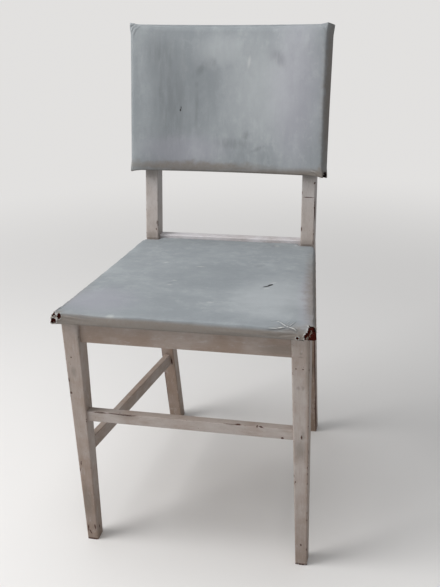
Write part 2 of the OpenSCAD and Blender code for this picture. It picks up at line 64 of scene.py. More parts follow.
def made_object(name, bm):
    mesh = bpy.data.meshes.new(name)
    bm.to_mesh(mesh)
    bm.free()
    return placed(name, mesh)


def turned(degrees, axis):
    return Matrix.Rotation(math.radians(degrees), 4, axis)


print("CAD nodes:", len(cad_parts))

# %% [markdown]
# ## Sizes that the pieces share
# The seat and the posts are read from the CAD model. What its boxes can't tell, such as the
# curve of the backrest, is written here once. Everything is in metres.

# %% Shared sizes
seat_low, seat_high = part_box("seat_cover")
post_low, post_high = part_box("leg_back_right")
leg_front_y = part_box("leg_front_right")[0].y
POST_W = 24.5 * MM
POST_GAP = 0.5 * MM
COVER_T = 1.2 * MM
EDGE_PAD = 4 * MM
print("seat from", seat_low, "to", seat_high)

# %% [markdown]
# ## The camera
# It stands at eye height a little to the chair's right and looks down on it, so that the
# seat, the front of the backrest and two sides of each leg all show.

# %% Camera
EYE = (0.3425, -1.3602, 1.0003)
EYE_TURNED_LEFT = 13.7
EYE_LOOKS_DOWN = 23.4
EYE_TILTED = -2.2

camera_data = bpy.data.cameras.new("camera")
camera_data.sensor_width = 36
camera_data.lens = 52.96
camera = placed("camera", camera_data)
aim = turned(EYE_TURNED_LEFT, "Z") @ turned(90 - EYE_LOOKS_DOWN, "X") @ turned(EYE_TILTED, "Z")
camera.matrix_world = Matrix.Translation(EYE) @ aim
scene.camera = camera
print("camera at", tuple(camera.location))

# %% [markdown]
# ## A notation for materials
# A material is a graph of nodes. Written out, each sum takes several lines, so a small class
# wraps a node's output and lets Python's own operators add the Math nodes. Colours go
# through Mix nodes, because a Math node would turn them grey.


# %% Wires and finishes
class Wire:
    """The output of a node, as a number that can be added, scaled and compared."""

    def __init__(self, finish, socket):
        self.finish = finish
        self.socket = socket

    def math(self, operation, *values):
        return self.finish.node("ShaderNodeMath", values, operation=operation)

    def __add__(self, other):
        return self.math("ADD", self, other)

    def __sub__(self, other):
        return self.math("SUBTRACT", self, other)

    def __rsub__(self, other):
        return self.math("SUBTRACT", other, self)

    def __mul__(self, other):
        return self.math("MULTIPLY", self, other)

    __radd__ = __add__
    __rmul__ = __mul__

    def __abs__(self):
        return self.math("ABSOLUTE", self)

    def or_more(self, other):
        return self.math("MAXIMUM", self, other)

    def rise(self, low, high):
        """0 up to low, 1 from high on, and smooth between; low may be the larger."""
        return self.finish.node(
            "ShaderNodeMapRange",
            {"Value": self, "From Min": low, "From Max": high},
            interpolation_type="SMOOTHSTEP",
        )


class Finish:
    """A material in the making. Lengths are in millimetres, places in metres."""

    def __init__(self, name, attribute=None):
        self.material = bpy.data.materials.new(name)
        self.material.use_nodes = True
        self.tree = self.material.node_tree
        self.shader = self.tree.nodes["Principled BSDF"]
        if attribute:
            self.place = self.node("ShaderNodeAttribute", output=1, attribute_name=attribute)
        else:
            self.place = self.node("ShaderNodeTexCoord", output=3)

    def feed(self, socket, value):
        if isinstance(value, Wire):
            self.tree.links.new(value.socket, socket)
        else:
            socket.default_value = value

    def node(self, kind, inputs=(), output=0, **settings):
        """Adds a node: its settings first, then the values or wires of its sockets."""
        made = self.tree.nodes.new(kind)
        for key, value in settings.items():
            setattr(made, key, value)
        pairs = inputs.items() if isinstance(inputs, dict) else enumerate(inputs)
        for key, value in pairs:
            self.feed(made.inputs[key], value)
        return Wire(self, made.outputs[output])

    def set(self, **inputs):
        """Sets the shader's sockets, named in lower case with underscores."""
        names = {s.name.lower().replace(" ", "_"): s for s in self.shader.inputs}
        for key, value in inputs.items():
            self.feed(names[key], value)

    def mix(self, share, first, second):
        """Colour that goes from first to second as share goes from 0 to 1."""
        inputs = {0: share, 6: rgba(first), 7: rgba(second)}
        return self.node("ShaderNodeMix", inputs, output=2, data_type="RGBA")

    def noise(self, size, stretch=(1, 1, 1), detail=3.0, rough=0.55, shift=0.0, output=0):
        """Cloudy noise, its patches about size across, and longer where stretch is more."""
        scale = [1 / (size * MM * s) for s in stretch]
        moved = self.node(
            "ShaderNodeMapping",
            {"Vector": self.place, "Scale": scale, "Location": (shift, shift, shift)},
        )
        inputs = {"Vector": moved, "Scale": 1.0, "Detail": detail, "Roughness": rough}
        return self.node("ShaderNodeTexNoise", inputs, output)

    def frayed(self, size, reach):
        """The place on the piece, shaken by noise, so that marks get ragged outlines."""
        shaken = self.noise(size, detail=2.0, output=1)
        centred = self.node(
            "ShaderNodeVectorMath", [shaken, (0.5, 0.5, 0.5)], operation="SUBTRACT"
        )
        inputs = [centred, (2 * reach * MM,) * 3, self.place]
        return self.node("ShaderNodeVectorMath", inputs, operation="MULTIPLY_ADD")

    def spot(self, place, at, size, turn=(0, 0, 0), soft=0.3):
        """1 inside an ellipsoid at a point, with its half sizes and its turn in degrees."""
        inputs = {
            "Vector": place,
            "Location": [c * MM for c in at],
            "Rotation": [math.radians(angle) for angle in turn],
            "Scale": [c * MM for c in size],
        }
        moved = self.node("ShaderNodeMapping", inputs, vector_type="TEXTURE")
        far = self.node("ShaderNodeVectorMath", [moved], output=1, operation="LENGTH")
        return far.rise(1 + soft, 1 - soft)

    def spots(self, place, marks, soft=0.3):
        """The union of several spots, each (at, size) or (at, size, turn)."""
        found = None
        for mark in marks:
            one = self.spot(place, *mark, soft=soft)
            found = one if found is None else found.or_more(one)
        return found

    def lay(self, share, colour):
        """Lays a colour over the tone so far, as strongly as share says."""
        self.tone = self.mix(share, self.tone, colour)

    def mark(self, place, marks, soft, share, colour):
        """Lays marks of a colour over the tone so far, if there are any."""
        if marks:
            self.lay(self.spots(place, marks, soft) * share, colour)

    def bump(self, height):
        """Surface normal of a relief whose height is in millimetres."""
        inputs = {"Strength": 1.0, "Distance": MM, "Height": height}
        return self.node("ShaderNodeBump", inputs)


def rgba(colour):
    return colour if isinstance(colour, Wire) else (*colour, 1.0)


def coat(material, *names):
    """Gives CAD nodes their material."""
    for name in names:
        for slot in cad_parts[name].material_slots:
            slot.material = material


print("materials can be written")

# %% [markdown]
# ## Floor and lamps
# A pale floor shows the chair's shadow, and far away it turns into the plain background.
# Daylight comes from the left and above through large soft lamps, with a weak fill from the
# front, so that the right side of each leg is a shade darker than its front.

# %% Floor
PALE = (0.76, 0.75, 0.74)
FLOOR_RADIUS = 30
floor_bm = bmesh.new()
bmesh.ops.create_circle(floor_bm, cap_ends=True, segments=96, radius=FLOOR_RADIUS)
floor = made_object("floor", floor_bm)

ground = Finish("floor")
ground.set(base_color=rgba(PALE), roughness=0.9, specular_ior_level=0.1)
from_middle = ground.node("ShaderNodeVectorMath", [ground.place], output=1, operation="LENGTH")
seen = ground.node("ShaderNodeLightPath")
glow = ground.node("ShaderNodeEmission", {"Color": rgba(PALE)})
share = from_middle.rise(0.7, 2.2) * seen
blended = ground.node(
    "ShaderNodeMixShader", [share, Wire(ground, ground.shader.outputs[0]), glow]
)
ground.feed(ground.tree.nodes["Material Output"].inputs[0], blended)
floor.data.materials.append(ground.material)
print("floor is", floor.dimensions.x, "m across")


# %% Lamps
def lamp(name, at, aim, size, power, colour):
    data = bpy.data.lights.new(name, "AREA")
    data.shape = "DISK"
    data.size = size
    data.energy = power
    data.color = colour
    thing = placed(name, data)
    thing.location = at
    thing.rotation_euler = (Vector(aim) - Vector(at)).to_track_quat("-Z", "Y").to_euler()


CHAIR_MIDDLE = (0, 0, 0.45)
lamp("window", (-1.9, -0.9, 1.9), CHAIR_MIDDLE, 1.6, 50, (1.0, 0.99, 0.98))
lamp("sky", (-0.3, -0.2, 2.8), CHAIR_MIDDLE, 2.2, 34, (0.98, 0.99, 1.0))
lamp("fill", (0.6, -2.4, 1.2), CHAIR_MIDDLE, 1.6, 8, (1.0, 0.98, 0.96))

world = bpy.data.worlds.new("room")
world.use_nodes = True
scene.world = world
links = world.node_tree.links
make = world.node_tree.nodes.new
around = world.node_tree.nodes["Background"]
around.inputs[0].default_value = (0.98, 0.99, 1.0, 1.0)
around.inputs[1].default_value = 0.24
shown = make("ShaderNodeBackground")
shown.inputs[0].default_value = rgba(PALE)
path = make("ShaderNodeLightPath")
both = make("ShaderNodeMixShader")
links.new(path.outputs["Is Camera Ray"], both.inputs[0])
links.new(around.outputs[0], both.inputs[1])
links.new(shown.outputs[0], both.inputs[2])
links.new(both.outputs[0], world.node_tree.nodes["World Output"].inputs[0])
scene.view_settings.view_transform = "Standard"

# %% [markdown]
# ## Old cream paint
# The frame was brushed with several coats, which have yellowed, taken up dirt near the floor
# and chipped down to a dark red-brown primer. Low down and on the sides turned from the light
# the paint also gets a painted warm shade, some smudges and one chip are painted shade under
# the seat, under the backrest and in an open joint, and the back rail is a lighter cream as a
# painted highlight. Brush marks run along each piece of wood.
# Paint goes first from the edges, so the surface normal tells where to wear it: on a flat
# face one of its three parts is near 1, and on a rounded edge none is. Chips and smudges
# that are there on the real chair are placed one by one, as small ellipsoids.

# %% Paint
CREAM = (0.49, 0.462, 0.45)
YELLOWED_AND_WARM_SHADE = (0.27, 0.195, 0.15)
GRIME = (0.19, 0.145, 0.11)
DUST_AND_WARM_SHADE = (0.20, 0.115, 0.08)
PAINTED_HIGHLIGHT_CREAM = (0.66, 0.64, 0.66)
SMUDGE_AND_SHADE = (0.17, 0.15, 0.13)
PRIMER = (0.06, 0.02, 0.012)
ALONG_X, ALONG_Y, ALONG_Z = (30, 1, 1), (1, 30, 1), (1, 1, 30)


def painted(name, grain=ALONG_Z, chips=(), smudges=(), worn=(), browned=(), age=0.6,
            fresh=CREAM, wear=0.6, shift=0.0):
    """Paint on one wooden piece. Chips and smudges are marks; one chip is painted shade in an
    open joint, and some smudges are painted shade under the seat and the backrest. worn lists
    zones where the edges are bare, the next zones get a painted warm shade on the sides turned
    from the light, the next share is how yellow the paint is low down and how warm its painted
    shade is there, the colour after it is the paint's colour elsewhere, on the back rail a
    painted highlight, and wear is how rare bare edges are, up to 1."""
    paint = Finish(name)
    frayed = paint.frayed(1.6, 0.9)
    clouds = paint.noise(55, detail=4, shift=shift)
    strokes = paint.noise(1.1, grain, rough=0.6, shift=shift)
    speckle = paint.noise(2.6, detail=2, shift=shift + 3)
    blotches = paint.noise(6, [g ** 0.3 for g in grain], detail=5, rough=0.7, shift=shift + 11)
    height = paint.node("ShaderNodeSeparateXYZ", [paint.place], output=2)

    normal = paint.node("ShaderNodeNewGeometry", output=1)
    flat = None
    for axis in range(3):
        part = abs(paint.node("ShaderNodeSeparateXYZ", [normal], output=axis))
        flat = part if flat is None else flat.or_more(part)
    edge = (1 - flat).rise(0.03, 0.13)
    rub = paint.noise(9, detail=4, rough=0.65, shift=shift + 7)
    bare = edge * rub.rise(wear, wear + 0.05)
    if worn:
        zone = paint.spots(paint.place, worn, soft=0.45)
        bare = bare.or_more((edge * 0.5 + rub * 0.8 + zone * 0.42).rise(0.86, 1.0) * zone)
    rarer = (wear - 0.6) * 0.3
    pits = speckle.rise(0.735 + rarer, 0.76 + rarer)
    gone = bare.or_more(pits)
    # Chips down to the primer; one is painted shade in the open joint of a stretcher.
    if chips:
        gone = gone.or_more(paint.spots(frayed, chips))

    low = height.rise(0.22, 0.01)
    dirt = (clouds * 0.55 + rub * 0.38 + strokes * 0.35 + low * 0.34).rise(0.62, 1.12)
    dirt = dirt.or_more(edge * rub.rise(0.42, 0.62) * 0.45)
    # Smudges; on the back posts and the front rail some are painted shade under the seat and the
    # backrest.
    if smudges:
        dark = paint.spots(paint.frayed(5, 2.5), smudges, soft=0.7) * 0.5
    else:
        dark = speckle.rise(0.66, 0.74) * 0.3

    # The base tone; on the back rail it is a lighter cream, a painted highlight.
    paint.tone = fresh
    # Yellowing in clouds, and low down a warmer tone that is both yellowing and painted warm
    # shade.
    paint.lay(clouds.rise(0.36, 0.68) * 0.28 + height.rise(0.56, 0.36) * age, YELLOWED_AND_WARM_SHADE)
    # Browner near the floor: dust, and painted warm shade.
    paint.lay(height.rise(0.24, 0.0) * 0.3, DUST_AND_WARM_SHADE)
    # Painted warm shade on the sides turned from the light.
    paint.mark(paint.place, browned, 0.5, 0.75, YELLOWED_AND_WARM_SHADE)
    paint.lay(strokes.rise(0.45, 0.75) * 0.22, GRIME)
    paint.lay(dirt * 0.42, GRIME)
    paint.lay(blotches.rise(0.5, 0.72) * 0.24, GRIME)
    paint.lay(blotches.rise(0.47, 0.3) * 0.3, fresh)
    paint.lay(dark, SMUDGE_AND_SHADE)
    paint.lay(gone, PRIMER)
    relief = strokes * 0.05 + clouds * 0.25 + rub * 0.06 - gone * 0.22
    paint.set(
        base_color=paint.tone,
        roughness=(0.36 + dirt * 0.2 + strokes * 0.12).or_more(gone * 0.78),
        normal=paint.bump(relief),
        specular_ior_level=0.45,
    )
    return paint.material


print("paint colours:", CREAM, YELLOWED_AND_WARM_SHADE)

# %% [markdown]
# ## Where the paint is damaged, and where shade and light are painted
# Each mark is a point on the chair and its half sizes, in millimetres. Marks on the front of
# a leg are a few millimetres deep, so that they don't show on its other faces.

# %% Marks on the frame
FRONT = leg_front_y / MM
STRETCHER = -210


def fronts(*rows, y=FRONT, deep=4):
    """Marks on a front: each is x, z, half width, half height and perhaps a turn."""
    return [((x, y, z), (wide, deep, tall), (0, *(turn or [0]), 0))
            for x, z, wide, tall, *turn in rows]


def tops(*rows):
    """Marks on the seat: each is x, y, half width, half depth and perhaps a turn."""
    return [((x, y, seat_high.z / MM), (wide, deep, 8), (0, 0, *(turn or [0])))
            for x, y, wide, deep, *turn in rows]


def sides(*rows):
    """Marks on the side of a leg: each is x, y, z, half width and half height."""
    return [((x, y, z), (4, wide, tall)) for x, y, z, wide, tall in rows]


looks = {
    "leg_front_left": dict(
        chips=fronts(
            (-187, 363, 1.0, 1.5), (-195.3, 321, 1.2, 3.8), (-194, 297, 1.9, 2.2),
            (-191, 160, 0.9, 4.2, 5), (-194.6, 147, 1.0, 4.0, -6), (-191.5, 24, 1.1, 7, 6),
            (-188, 16, 1.0, 5, -20), (-178.6, 28, 1.3, 5.5, -4), (-186, 0, 14, 3.2),
        ) + sides((-173, -205, 22, 2.4, 4)),
        smudges=fronts((-185, 337, 4, 8), (-195, 62, 2.5, 16), (-195.5, 309, 3, 22),
                       (-187, 85, 7, 30), (-171, 400, 3, 30)),
    ),
    "leg_front_right": dict(
        chips=fronts(
            (177, 373, 1.0, 1.0), (188, 373, 1.1, 1.1), (176, 167, 1.1, 1.8),
            (185, 42, 1.3, 2.2), (186, 252, 1.1, 3.8), (186, 0, 14, 3.6),
        ) + sides(
            (197, -212, 224, 1.8, 4), (197, -211, 203, 1.3, 1.8), (197, -211, 197, 1.5, 2),
            (197, -211, 190, 1.1, 1.6), (196, -193, 134, 1.4, 3), (196, -189, 95, 1.6, 4),
        ),
        smudges=fronts((184.7, 399, 2.2, 2.2), (184.7, 393.4, 4, 1.0), (181, 340, 2.5, 3.5),
                       (188, 340, 2, 4), (188, 255, 3, 9), (184, 228, 8, 16),
                       (195, 380, 2.5, 45)),
        # Painted warm shade on the outer side, turned from the light.
        browned=[((201, -200, 200), (9, 40, 240))],
        age=0.36,
    ),
    "leg_back_left": dict(
        # The last chip is painted shade in the open joint of the side stretcher.
        chips=[((-138, 130, 476), (1.5, 5, 4)), ((-140, 131, 464), (1.1, 6, 2.5)),
               ((-140.6, 172.5, 155), (1.6, 6, 8))],
        # Painted shade where the post meets the seat and just under the backrest.
        smudges=[((-149, 130, 452), (13, 10, 6)), ((-148, 160, 570), (14, 20, 10))],
        worn=[((-160.5, 180, 120), (8, 40, 90))],
        # Painted warm shade on the inner side, turned from the light.
        browned=[((-136, 180, 150), (6, 40, 160))],
        age=0.75,
    ),
    "leg_back_right": dict(
        chips=[((136.6, 129, 474.6), (1.7, 5, 4)), ((159, 146, 558), (1.6, 8, 1.8)),
               ((149, 142, 532.5), (10, 14, 0.7)), ((160.6, 138, 515), (0.8, 8, 26))],
        # Painted shade where the post meets the seat and just under the backrest.
        smudges=[((148, 130, 449), (13, 10, 6)), ((148, 160, 572), (14, 20, 9))],
        worn=[((158, 165, 350), (16, 40, 90)), ((160.5, 185, 200), (10, 40, 110)),
              ((160.5, 200, 60), (9, 30, 60))],
        # Painted warm shade on the outer side, turned from the light.
        browned=[((164, 180, 240), (9, 60, 220))],
        age=0.8,
    ),
    "rail_front": dict(
        grain=ALONG_X,
        # The long smudge is painted shadow under the front edge of the seat.
        smudges=fronts((0, 424, 190, 5), (150, 400, 30, 9), y=-209),
        age=0.7,
        wear=0.9,
    ),
    # The lighter cream is a painted highlight on the rail's top.
    "rail_back": dict(grain=ALONG_X, age=0.0, fresh=PAINTED_HIGHLIGHT_CREAM, wear=0.9),
    "rail_left": dict(grain=ALONG_Y),
    "rail_right": dict(
        grain=ALONG_Y,
        worn=[((180, -60, 405), (9, 60, 22)), ((168, 60, 400), (9, 40, 18))],
    ),
    "stretcher_front": dict(
        grain=ALONG_X,
        chips=fronts(
            (126, 241, 2.1, 2.1), (154.5, 244.3, 2.3, 2.1), (-150, 260, 12, 0.5),
            (-108, 259.8, 16, 0.6, 2), (83, 261, 5, 0.6), y=STRETCHER,
        ) + [((114, -209.5, 261), (1.1, 4, 1.5)), ((120, -210, 260.8), (6, 3, 0.6), (0, 12, 0))],
        worn=[((-112, -209, 261), (26, 5, 3))],
        age=0.36,
    ),
    "stretcher_left": dict(grain=ALONG_Y),
    "stretcher_right": dict(grain=ALONG_Y),
}
for index, (name, look) in enumerate(sorted(looks.items())):
    coat(painted("paint_" + name, shift=1.7 * index, **look), name)
print("painted:", sorted(looks))

# %% [markdown]
# ## Wood, board and steel
# What is under the paint and the vinyl shows only from below and from behind: blocks and
# pegs of plain softwood, boards of thin plywood, and small steel tacks and screws that have
# begun to rust.


# %% Bare wood, plywood and steel
def timber(name, pale, dark, grain, ring=4.0):
    wood = Finish(name)
    rings = wood.noise(ring, grain, rough=0.6)
    pores = wood.noise(0.7, grain, detail=2)
    stain = wood.noise(30)
    wood.tone = wood.mix(rings.rise(0.35, 0.65), pale, dark)
    wood.lay(pores.rise(0.55, 0.75) * 0.5, (0.12, 0.07, 0.04))
    wood.lay(stain.rise(0.5, 0.75) * 0.5, (0.16, 0.11, 0.075))
    wood.set(base_color=wood.tone, roughness=0.7 + rings * 0.15, normal=wood.bump(pores * 0.12))
    return wood.material


def steel(name, bright, rusty):
    metal = Finish(name)
    cloud = metal.noise(1.6, detail=4, rough=0.7)
    rust = cloud.rise(0.62 - rusty, 0.7 - rusty)
    metal.set(
        base_color=metal.mix(rust, bright, (0.16, 0.06, 0.025)),
        metallic=1 - rust * 0.9,
        roughness=0.38 + rust * 0.45,
        normal=metal.bump(rust * 0.06),
    )
    return metal.material


corner_blocks = [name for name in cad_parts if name.startswith("corner_block")]
coat(timber("block_wood", (0.46, 0.30, 0.17), (0.36, 0.21, 0.105), ALONG_X), *corner_blocks)
coat(timber("plywood", (0.42, 0.29, 0.18), (0.33, 0.215, 0.12), ALONG_X, ring=6.0),
     "seat_board", "back_board")
coat(timber("peg_wood", (0.5, 0.35, 0.21), (0.42, 0.27, 0.15), ALONG_X, ring=2.0),
     "rail_pegs", "stretcher_pegs")
coat(steel("blued_steel", (0.09, 0.09, 0.1), 0.1), "seat_tacks", "back_tacks")
coat(steel("screw_steel", (0.34, 0.33, 0.32), 0.04), "block_screws", "seat_screws", "back_screws")
print("plain materials done")

# %% [markdown]
# ## Blue-grey vinyl
# The covers are vinyl pressed with a fine leather grain. Years of use have rubbed them
# darker in clouds, left smears and a few cuts, and turned the lower edges brown. Painted
# shade darkens broad zones, the furrows of the folds and the seat's right edge, and a painted
# highlight adds to the whitening of the fold ridges. The seat reads its own place in space.
# The backrest is curved, so it reads an attribute instead, which holds where each point lay
# while the pad was still flat.

# %% Vinyl
VINYL = (0.315, 0.338, 0.352)
VINYL_DARK = (0.215, 0.235, 0.25)
VINYL_PALE = (0.41, 0.43, 0.445)
VINYL_SMEAR_AND_SHADE = (0.13, 0.14, 0.148)
VINYL_LILAC = (0.36, 0.345, 0.40)
BROWN_DIRT_AND_SHADE = (0.19, 0.155, 0.125)
WHITENED_AND_HIGHLIGHT = (0.56, 0.56, 0.55)
CUT = (0.018, 0.017, 0.016)


def vinyl(name, attribute=None, stretch=(1, 1, 1), cloudy=1.0, shaded=(), dark=(), pale=(),
          scuffs=(), brown_dirt_and_shade=(), cuts=(), lilac=(), soil_line=None, cloud_size=70):
    """Worn vinyl with its marks: wide zones of painted shade, dark smears, some of them painted
    shade along folds, pale places, scuffs, brown dirt, which on the seat's right edge is
    painted shade, and cuts. Below soil_line, given as the heights where the dirt starts and is
    full and its slope along X, the vinyl is brown. The attribute fold whitens the crease
    ridges, as worn vinyl and as a painted highlight, and darkens their furrows, as painted
    shade."""
    skin = Finish(name, attribute)
    loose = skin.frayed(14, 8)
    tight = skin.frayed(2.0, 1.0)
    clouds = skin.noise(cloud_size, stretch, detail=4, rough=0.6)
    streaks = skin.noise(9, [s * s for s in stretch], detail=4, rough=0.62)
    mottle = skin.noise(4, rough=0.6, shift=5)
    patches = skin.noise(17, [s ** 0.5 for s in stretch], rough=0.7, shift=21)
    dots = skin.noise(2.2, detail=2, shift=9)
    leather = skin.node(
        "ShaderNodeTexVoronoi",
        {"Vector": skin.place, "Scale": 1 / (1.3 * MM)},
        feature="DISTANCE_TO_EDGE",
    )
    pores = leather.rise(0.0, 0.16)
    share = clouds.rise(0.36, 0.66) * cloudy + 0.68 * (1 - cloudy)
    skin.tone = skin.mix(share, VINYL_DARK, VINYL)
    rubbed = (clouds * 0.6 + streaks * 0.4).rise(0.52, 0.7)
    skin.lay(rubbed * 0.35 * cloudy, VINYL_PALE)
    skin.lay(streaks.rise(0.5, 0.68) * 0.34, VINYL_DARK)
    skin.lay(patches.rise(0.5, 0.62) * 0.2, VINYL_DARK)
    skin.lay(patches.rise(0.48, 0.36) * 0.2, VINYL_PALE)
    skin.mark(loose, shaded, 0.85, 0.6, VINYL_DARK)
    skin.lay(mottle.rise(0.6, 0.75) * 0.16, VINYL_PALE)
    skin.lay(dots.rise(0.7, 0.76) * 0.3, VINYL_SMEAR_AND_SHADE)
    skin.mark(loose, pale, 0.6, 0.5, VINYL_PALE)
    skin.mark(loose, lilac, 0.6, 0.35, VINYL_LILAC)
    skin.mark(tight, scuffs, 0.7, 0.4, WHITENED_AND_HIGHLIGHT)
    soil_and_shade = 0.0
    # Brown dirt; on the seat's right edge it is brown painted shade.
    if brown_dirt_and_shade:
        soil_and_shade = skin.spots(loose, brown_dirt_and_shade, soft=0.6) * (0.4 + mottle * 0.5)
    if soil_line:
        clear, full, slope = soil_line
        across = skin.node("ShaderNodeSeparateXYZ", [skin.place], output=0)
        height = skin.node("ShaderNodeSeparateXYZ", [skin.place], output=2)
        level = height + across * slope + (clouds - 0.5) * 0.006
        soil_and_shade = (level.rise(clear, full) * (0.62 + mottle * 0.3)).or_more(soil_and_shade)
    skin.lay(soil_and_shade, BROWN_DIRT_AND_SHADE)
    # Crease ridges whitened, as worn vinyl and a painted highlight; furrows darkened as painted
    # shade.
    fold = skin.node("ShaderNodeAttribute", output=2, attribute_name="fold")
    skin.lay(fold.rise(0.2, 0.85) * 0.8, WHITENED_AND_HIGHLIGHT)
    skin.lay(fold.rise(-0.1, -0.6) * 0.6, VINYL_SMEAR_AND_SHADE)
    # Dark smears, and on the seat's front painted shade lines along folds.
    skin.mark(tight, dark, 0.75, streaks.rise(0.3, 0.6) * 0.3 + 0.08, VINYL_SMEAR_AND_SHADE)
    cut = 0.0
    if cuts:
        cut = skin.spots(skin.frayed(3, 0.5), cuts, soft=0.25)
        skin.lay(cut, CUT)
    relief = pores * 0.035 + mottle * 0.1 + clouds * 0.5 - cut * 0.5
    skin.set(
        base_color=skin.tone,
        roughness=0.52 - clouds * 0.1 + soil_and_shade * 0.25 + mottle * 0.08,
        normal=skin.bump(relief),
        specular_ior_level=0.33,
    )
    return skin.material


def torn_edge():
    """The pale cloth backing that shows where the vinyl is torn through."""
    cloth = Finish("torn_edge")
    weave = cloth.noise(0.8)
    tone = cloth.mix(weave.rise(0.4, 0.62), (0.20, 0.15, 0.11), (0.50, 0.46, 0.40))
    cloth.set(base_color=tone, roughness=0.9, normal=cloth.bump(weave * 0.3))
    return cloth.material


def fibre(name="fibre", dark=(0.012, 0.003, 0.002), light=(0.10, 0.011, 0.005),
          lump=(0.26, 0.12, 0.08)):
    """Dark matted fibre, the stuffing of the pads."""
    mat = Finish(name)
    strands = mat.noise(0.9, (1, 4, 1), detail=4, rough=0.7)
    lumps = mat.noise(3.5, detail=4, rough=0.65, shift=4)
    mat.tone = mat.mix(strands.rise(0.4, 0.64), dark, light)
    mat.lay(lumps.rise(0.66, 0.76) * 0.35, lump)
    mat.set(
        base_color=mat.tone,
        roughness=0.95,
        normal=mat.bump(strands * 0.7 + lumps * 1.5),
        specular_ior_level=0.08,
    )
    return mat.material


torn_cloth = torn_edge()
stuffing = fibre()
# The backrest's fibre is near black: painted shade deep in its worn hole.
painted_shade_stuffing = fibre(
    "black_fibre", (0.003, 0.002, 0.002), (0.02, 0.010, 0.008), (0.05, 0.03, 0.02)
)
print("vinyl tone:", VINYL)

# %% [markdown]
# ## From a block to a padded form
# A pad starts as a closed block with rounded edges. A voxel remesh gives it even squares,
# and a short cloth simulation with pressure inside swells it where it isn't held, as
# stuffing does. How far a point may move is capped, so the pad keeps its size. Creases and
# tears come after, on a finer mesh near the corners, because a remesh would close them.


# %% Tools for pads
VOXEL = 5 * MM
SWELL_CAP = 2.6 * MM
SWELL_FRAMES = 20
EVENING_ROUNDS = 12
EDGE_LOSS = 1.8 * MM


def rounded(bm, edges, radius, steps):
    """Rounds edges off."""
    bmesh.ops.bevel(
        bm, geom=edges, offset=radius, segments=steps, profile=0.5,
        affect="EDGES", material=-1,
    )


def applied(thing):
    """Turns an object's modifiers into its mesh."""
    graph = bpy.context.evaluated_depsgraph_get()
    mesh = bpy.data.meshes.new_from_object(thing.evaluated_get(graph))
    thing.modifiers.clear()
    thing.data = mesh
    return thing


def modified(thing, kind, **settings):
    """Sets up one modifier on an object and turns the result into its mesh."""
    step = thing.modifiers.new(kind, kind)
    for key, value in settings.items():
        setattr(step, key, value)
    return applied(thing)


def swollen(thing, held):
    """Swells the form by simulation. held says which points stay. The moves are evened out
    over their neighbours, so that no mitre shows at the corners."""
    start = [v.co.copy() for v in thing.data.vertices]
    group = thing.vertex_groups.new(name="held")
    for v in thing.data.vertices:
        group.add([v.index], held(v.co), "REPLACE")
    cloth = thing.modifiers.new("swell", "CLOTH")
    cloth.settings.use_pressure = True
    cloth.settings.uniform_pressure_force = 4.0
    cloth.settings.effector_weights.gravity = 0
    cloth.settings.vertex_group_mass = "held"
    cloth.settings.quality = 5
    cloth.collision_settings.use_collision = False
    for number in range(1, SWELL_FRAMES + 1):
        scene.frame_set(number)
    applied(thing)
    scene.frame_set(1)
    steps = []
    for v, was in zip(thing.data.vertices, start):
        step = v.co - was
        far = max(step.length, 1e-9)
        steps.append(step * (SWELL_CAP * math.tanh(far / SWELL_CAP) / far))
    edges = [tuple(e.vertices) for e in thing.data.edges]
    for _ in range(EVENING_ROUNDS):
        sums = [step.copy() for step in steps]
        counts = [1] * len(steps)
        for a, b in edges:
            sums[a] += steps[b]
            sums[b] += steps[a]
            counts[a] += 1
            counts[b] += 1
        steps = [total / count for total, count in zip(sums, counts)]
    for v, was, step in zip(thing.data.vertices, start, steps):
        v.co = was + step * (1 - held(was))
    thing.vertex_groups.clear()
    print(thing.name, "swelled by up to", round(max(s.length for s in steps) / MM, 2), "mm")


def upholstered(block, held):
    """Turns a block into a swollen form with a fine mesh."""
    modified(block, "REMESH", mode="VOXEL", voxel_size=VOXEL)
    swollen(block, held)
    modified(block, "SUBSURF", levels=1, render_levels=1)


def refine(bm, near, times):
    """Splits the edges whose ends both lie in a region, once or more."""
    for _ in range(times):
        edges = [e for e in bm.edges if all(near(v.co) for v in e.verts)]
        bmesh.ops.subdivide_edges(bm, edges=edges, cuts=1, use_grid_fill=True)


def nearest_on(path, point):
    """Distance from a point to a line of points, and the share of the way along it."""
    best, along = 1e9, 0.0
    for index, (a, b) in enumerate(zip(path, path[1:])):
        span = b - a
        t = max(0.0, min(1.0, (point - a).dot(span) / span.length_squared))
        gap = (point - (a + span * t)).length
        if gap < best:
            best, along = gap, (index + t) / (len(path) - 1)
    return best, along


def crisp(bm, last_y):
    """Pushes the rounded edges in front of last_y out along their normals, to win back what
    the remesh took."""
    for v in bm.verts:
        if v.co.y < last_y:
            flat = max(abs(part) for part in v.normal)
            v.co += v.normal * EDGE_LOSS * min(1.0, (1 - flat) / 0.29)
    bm.normal_update()


def crease(bm, path, width, height, white):
    """Raises a ridge along a line, with a shallow furrow on each side, tapering to its ends.
    The line is laid on the surface first, and white says how much the ridge is whitened, as
    worn vinyl and as a painted highlight, and how much the furrows are darkened, as painted
    shade.
    The width and the height are in millimetres, as the path is."""
    width, height = width * MM, height * MM
    tree = bvhtree.BVHTree.FromBMesh(bm)
    path = [tree.find_nearest(Vector(p) * MM)[0] for p in path]
    layer = bm.verts.layers.float.get("fold") or bm.verts.layers.float.new("fold")
    reach = 2.2 * width
    for v in bm.verts:
        gap, along = nearest_on(path, v.co)
        if gap < reach:
            ridge = math.exp(-((gap / width * 2) ** 2))
            furrow = math.exp(-(((gap - width) / width * 2) ** 2))
            taper = math.sin(math.pi * min(1.0, max(0.0, 0.1 + 0.8 * along)))
            v.co += v.normal * height * (ridge - 0.6 * furrow) * taper
            v[layer] += white * (ridge - 0.8 * furrow) * taper
    bm.normal_update()


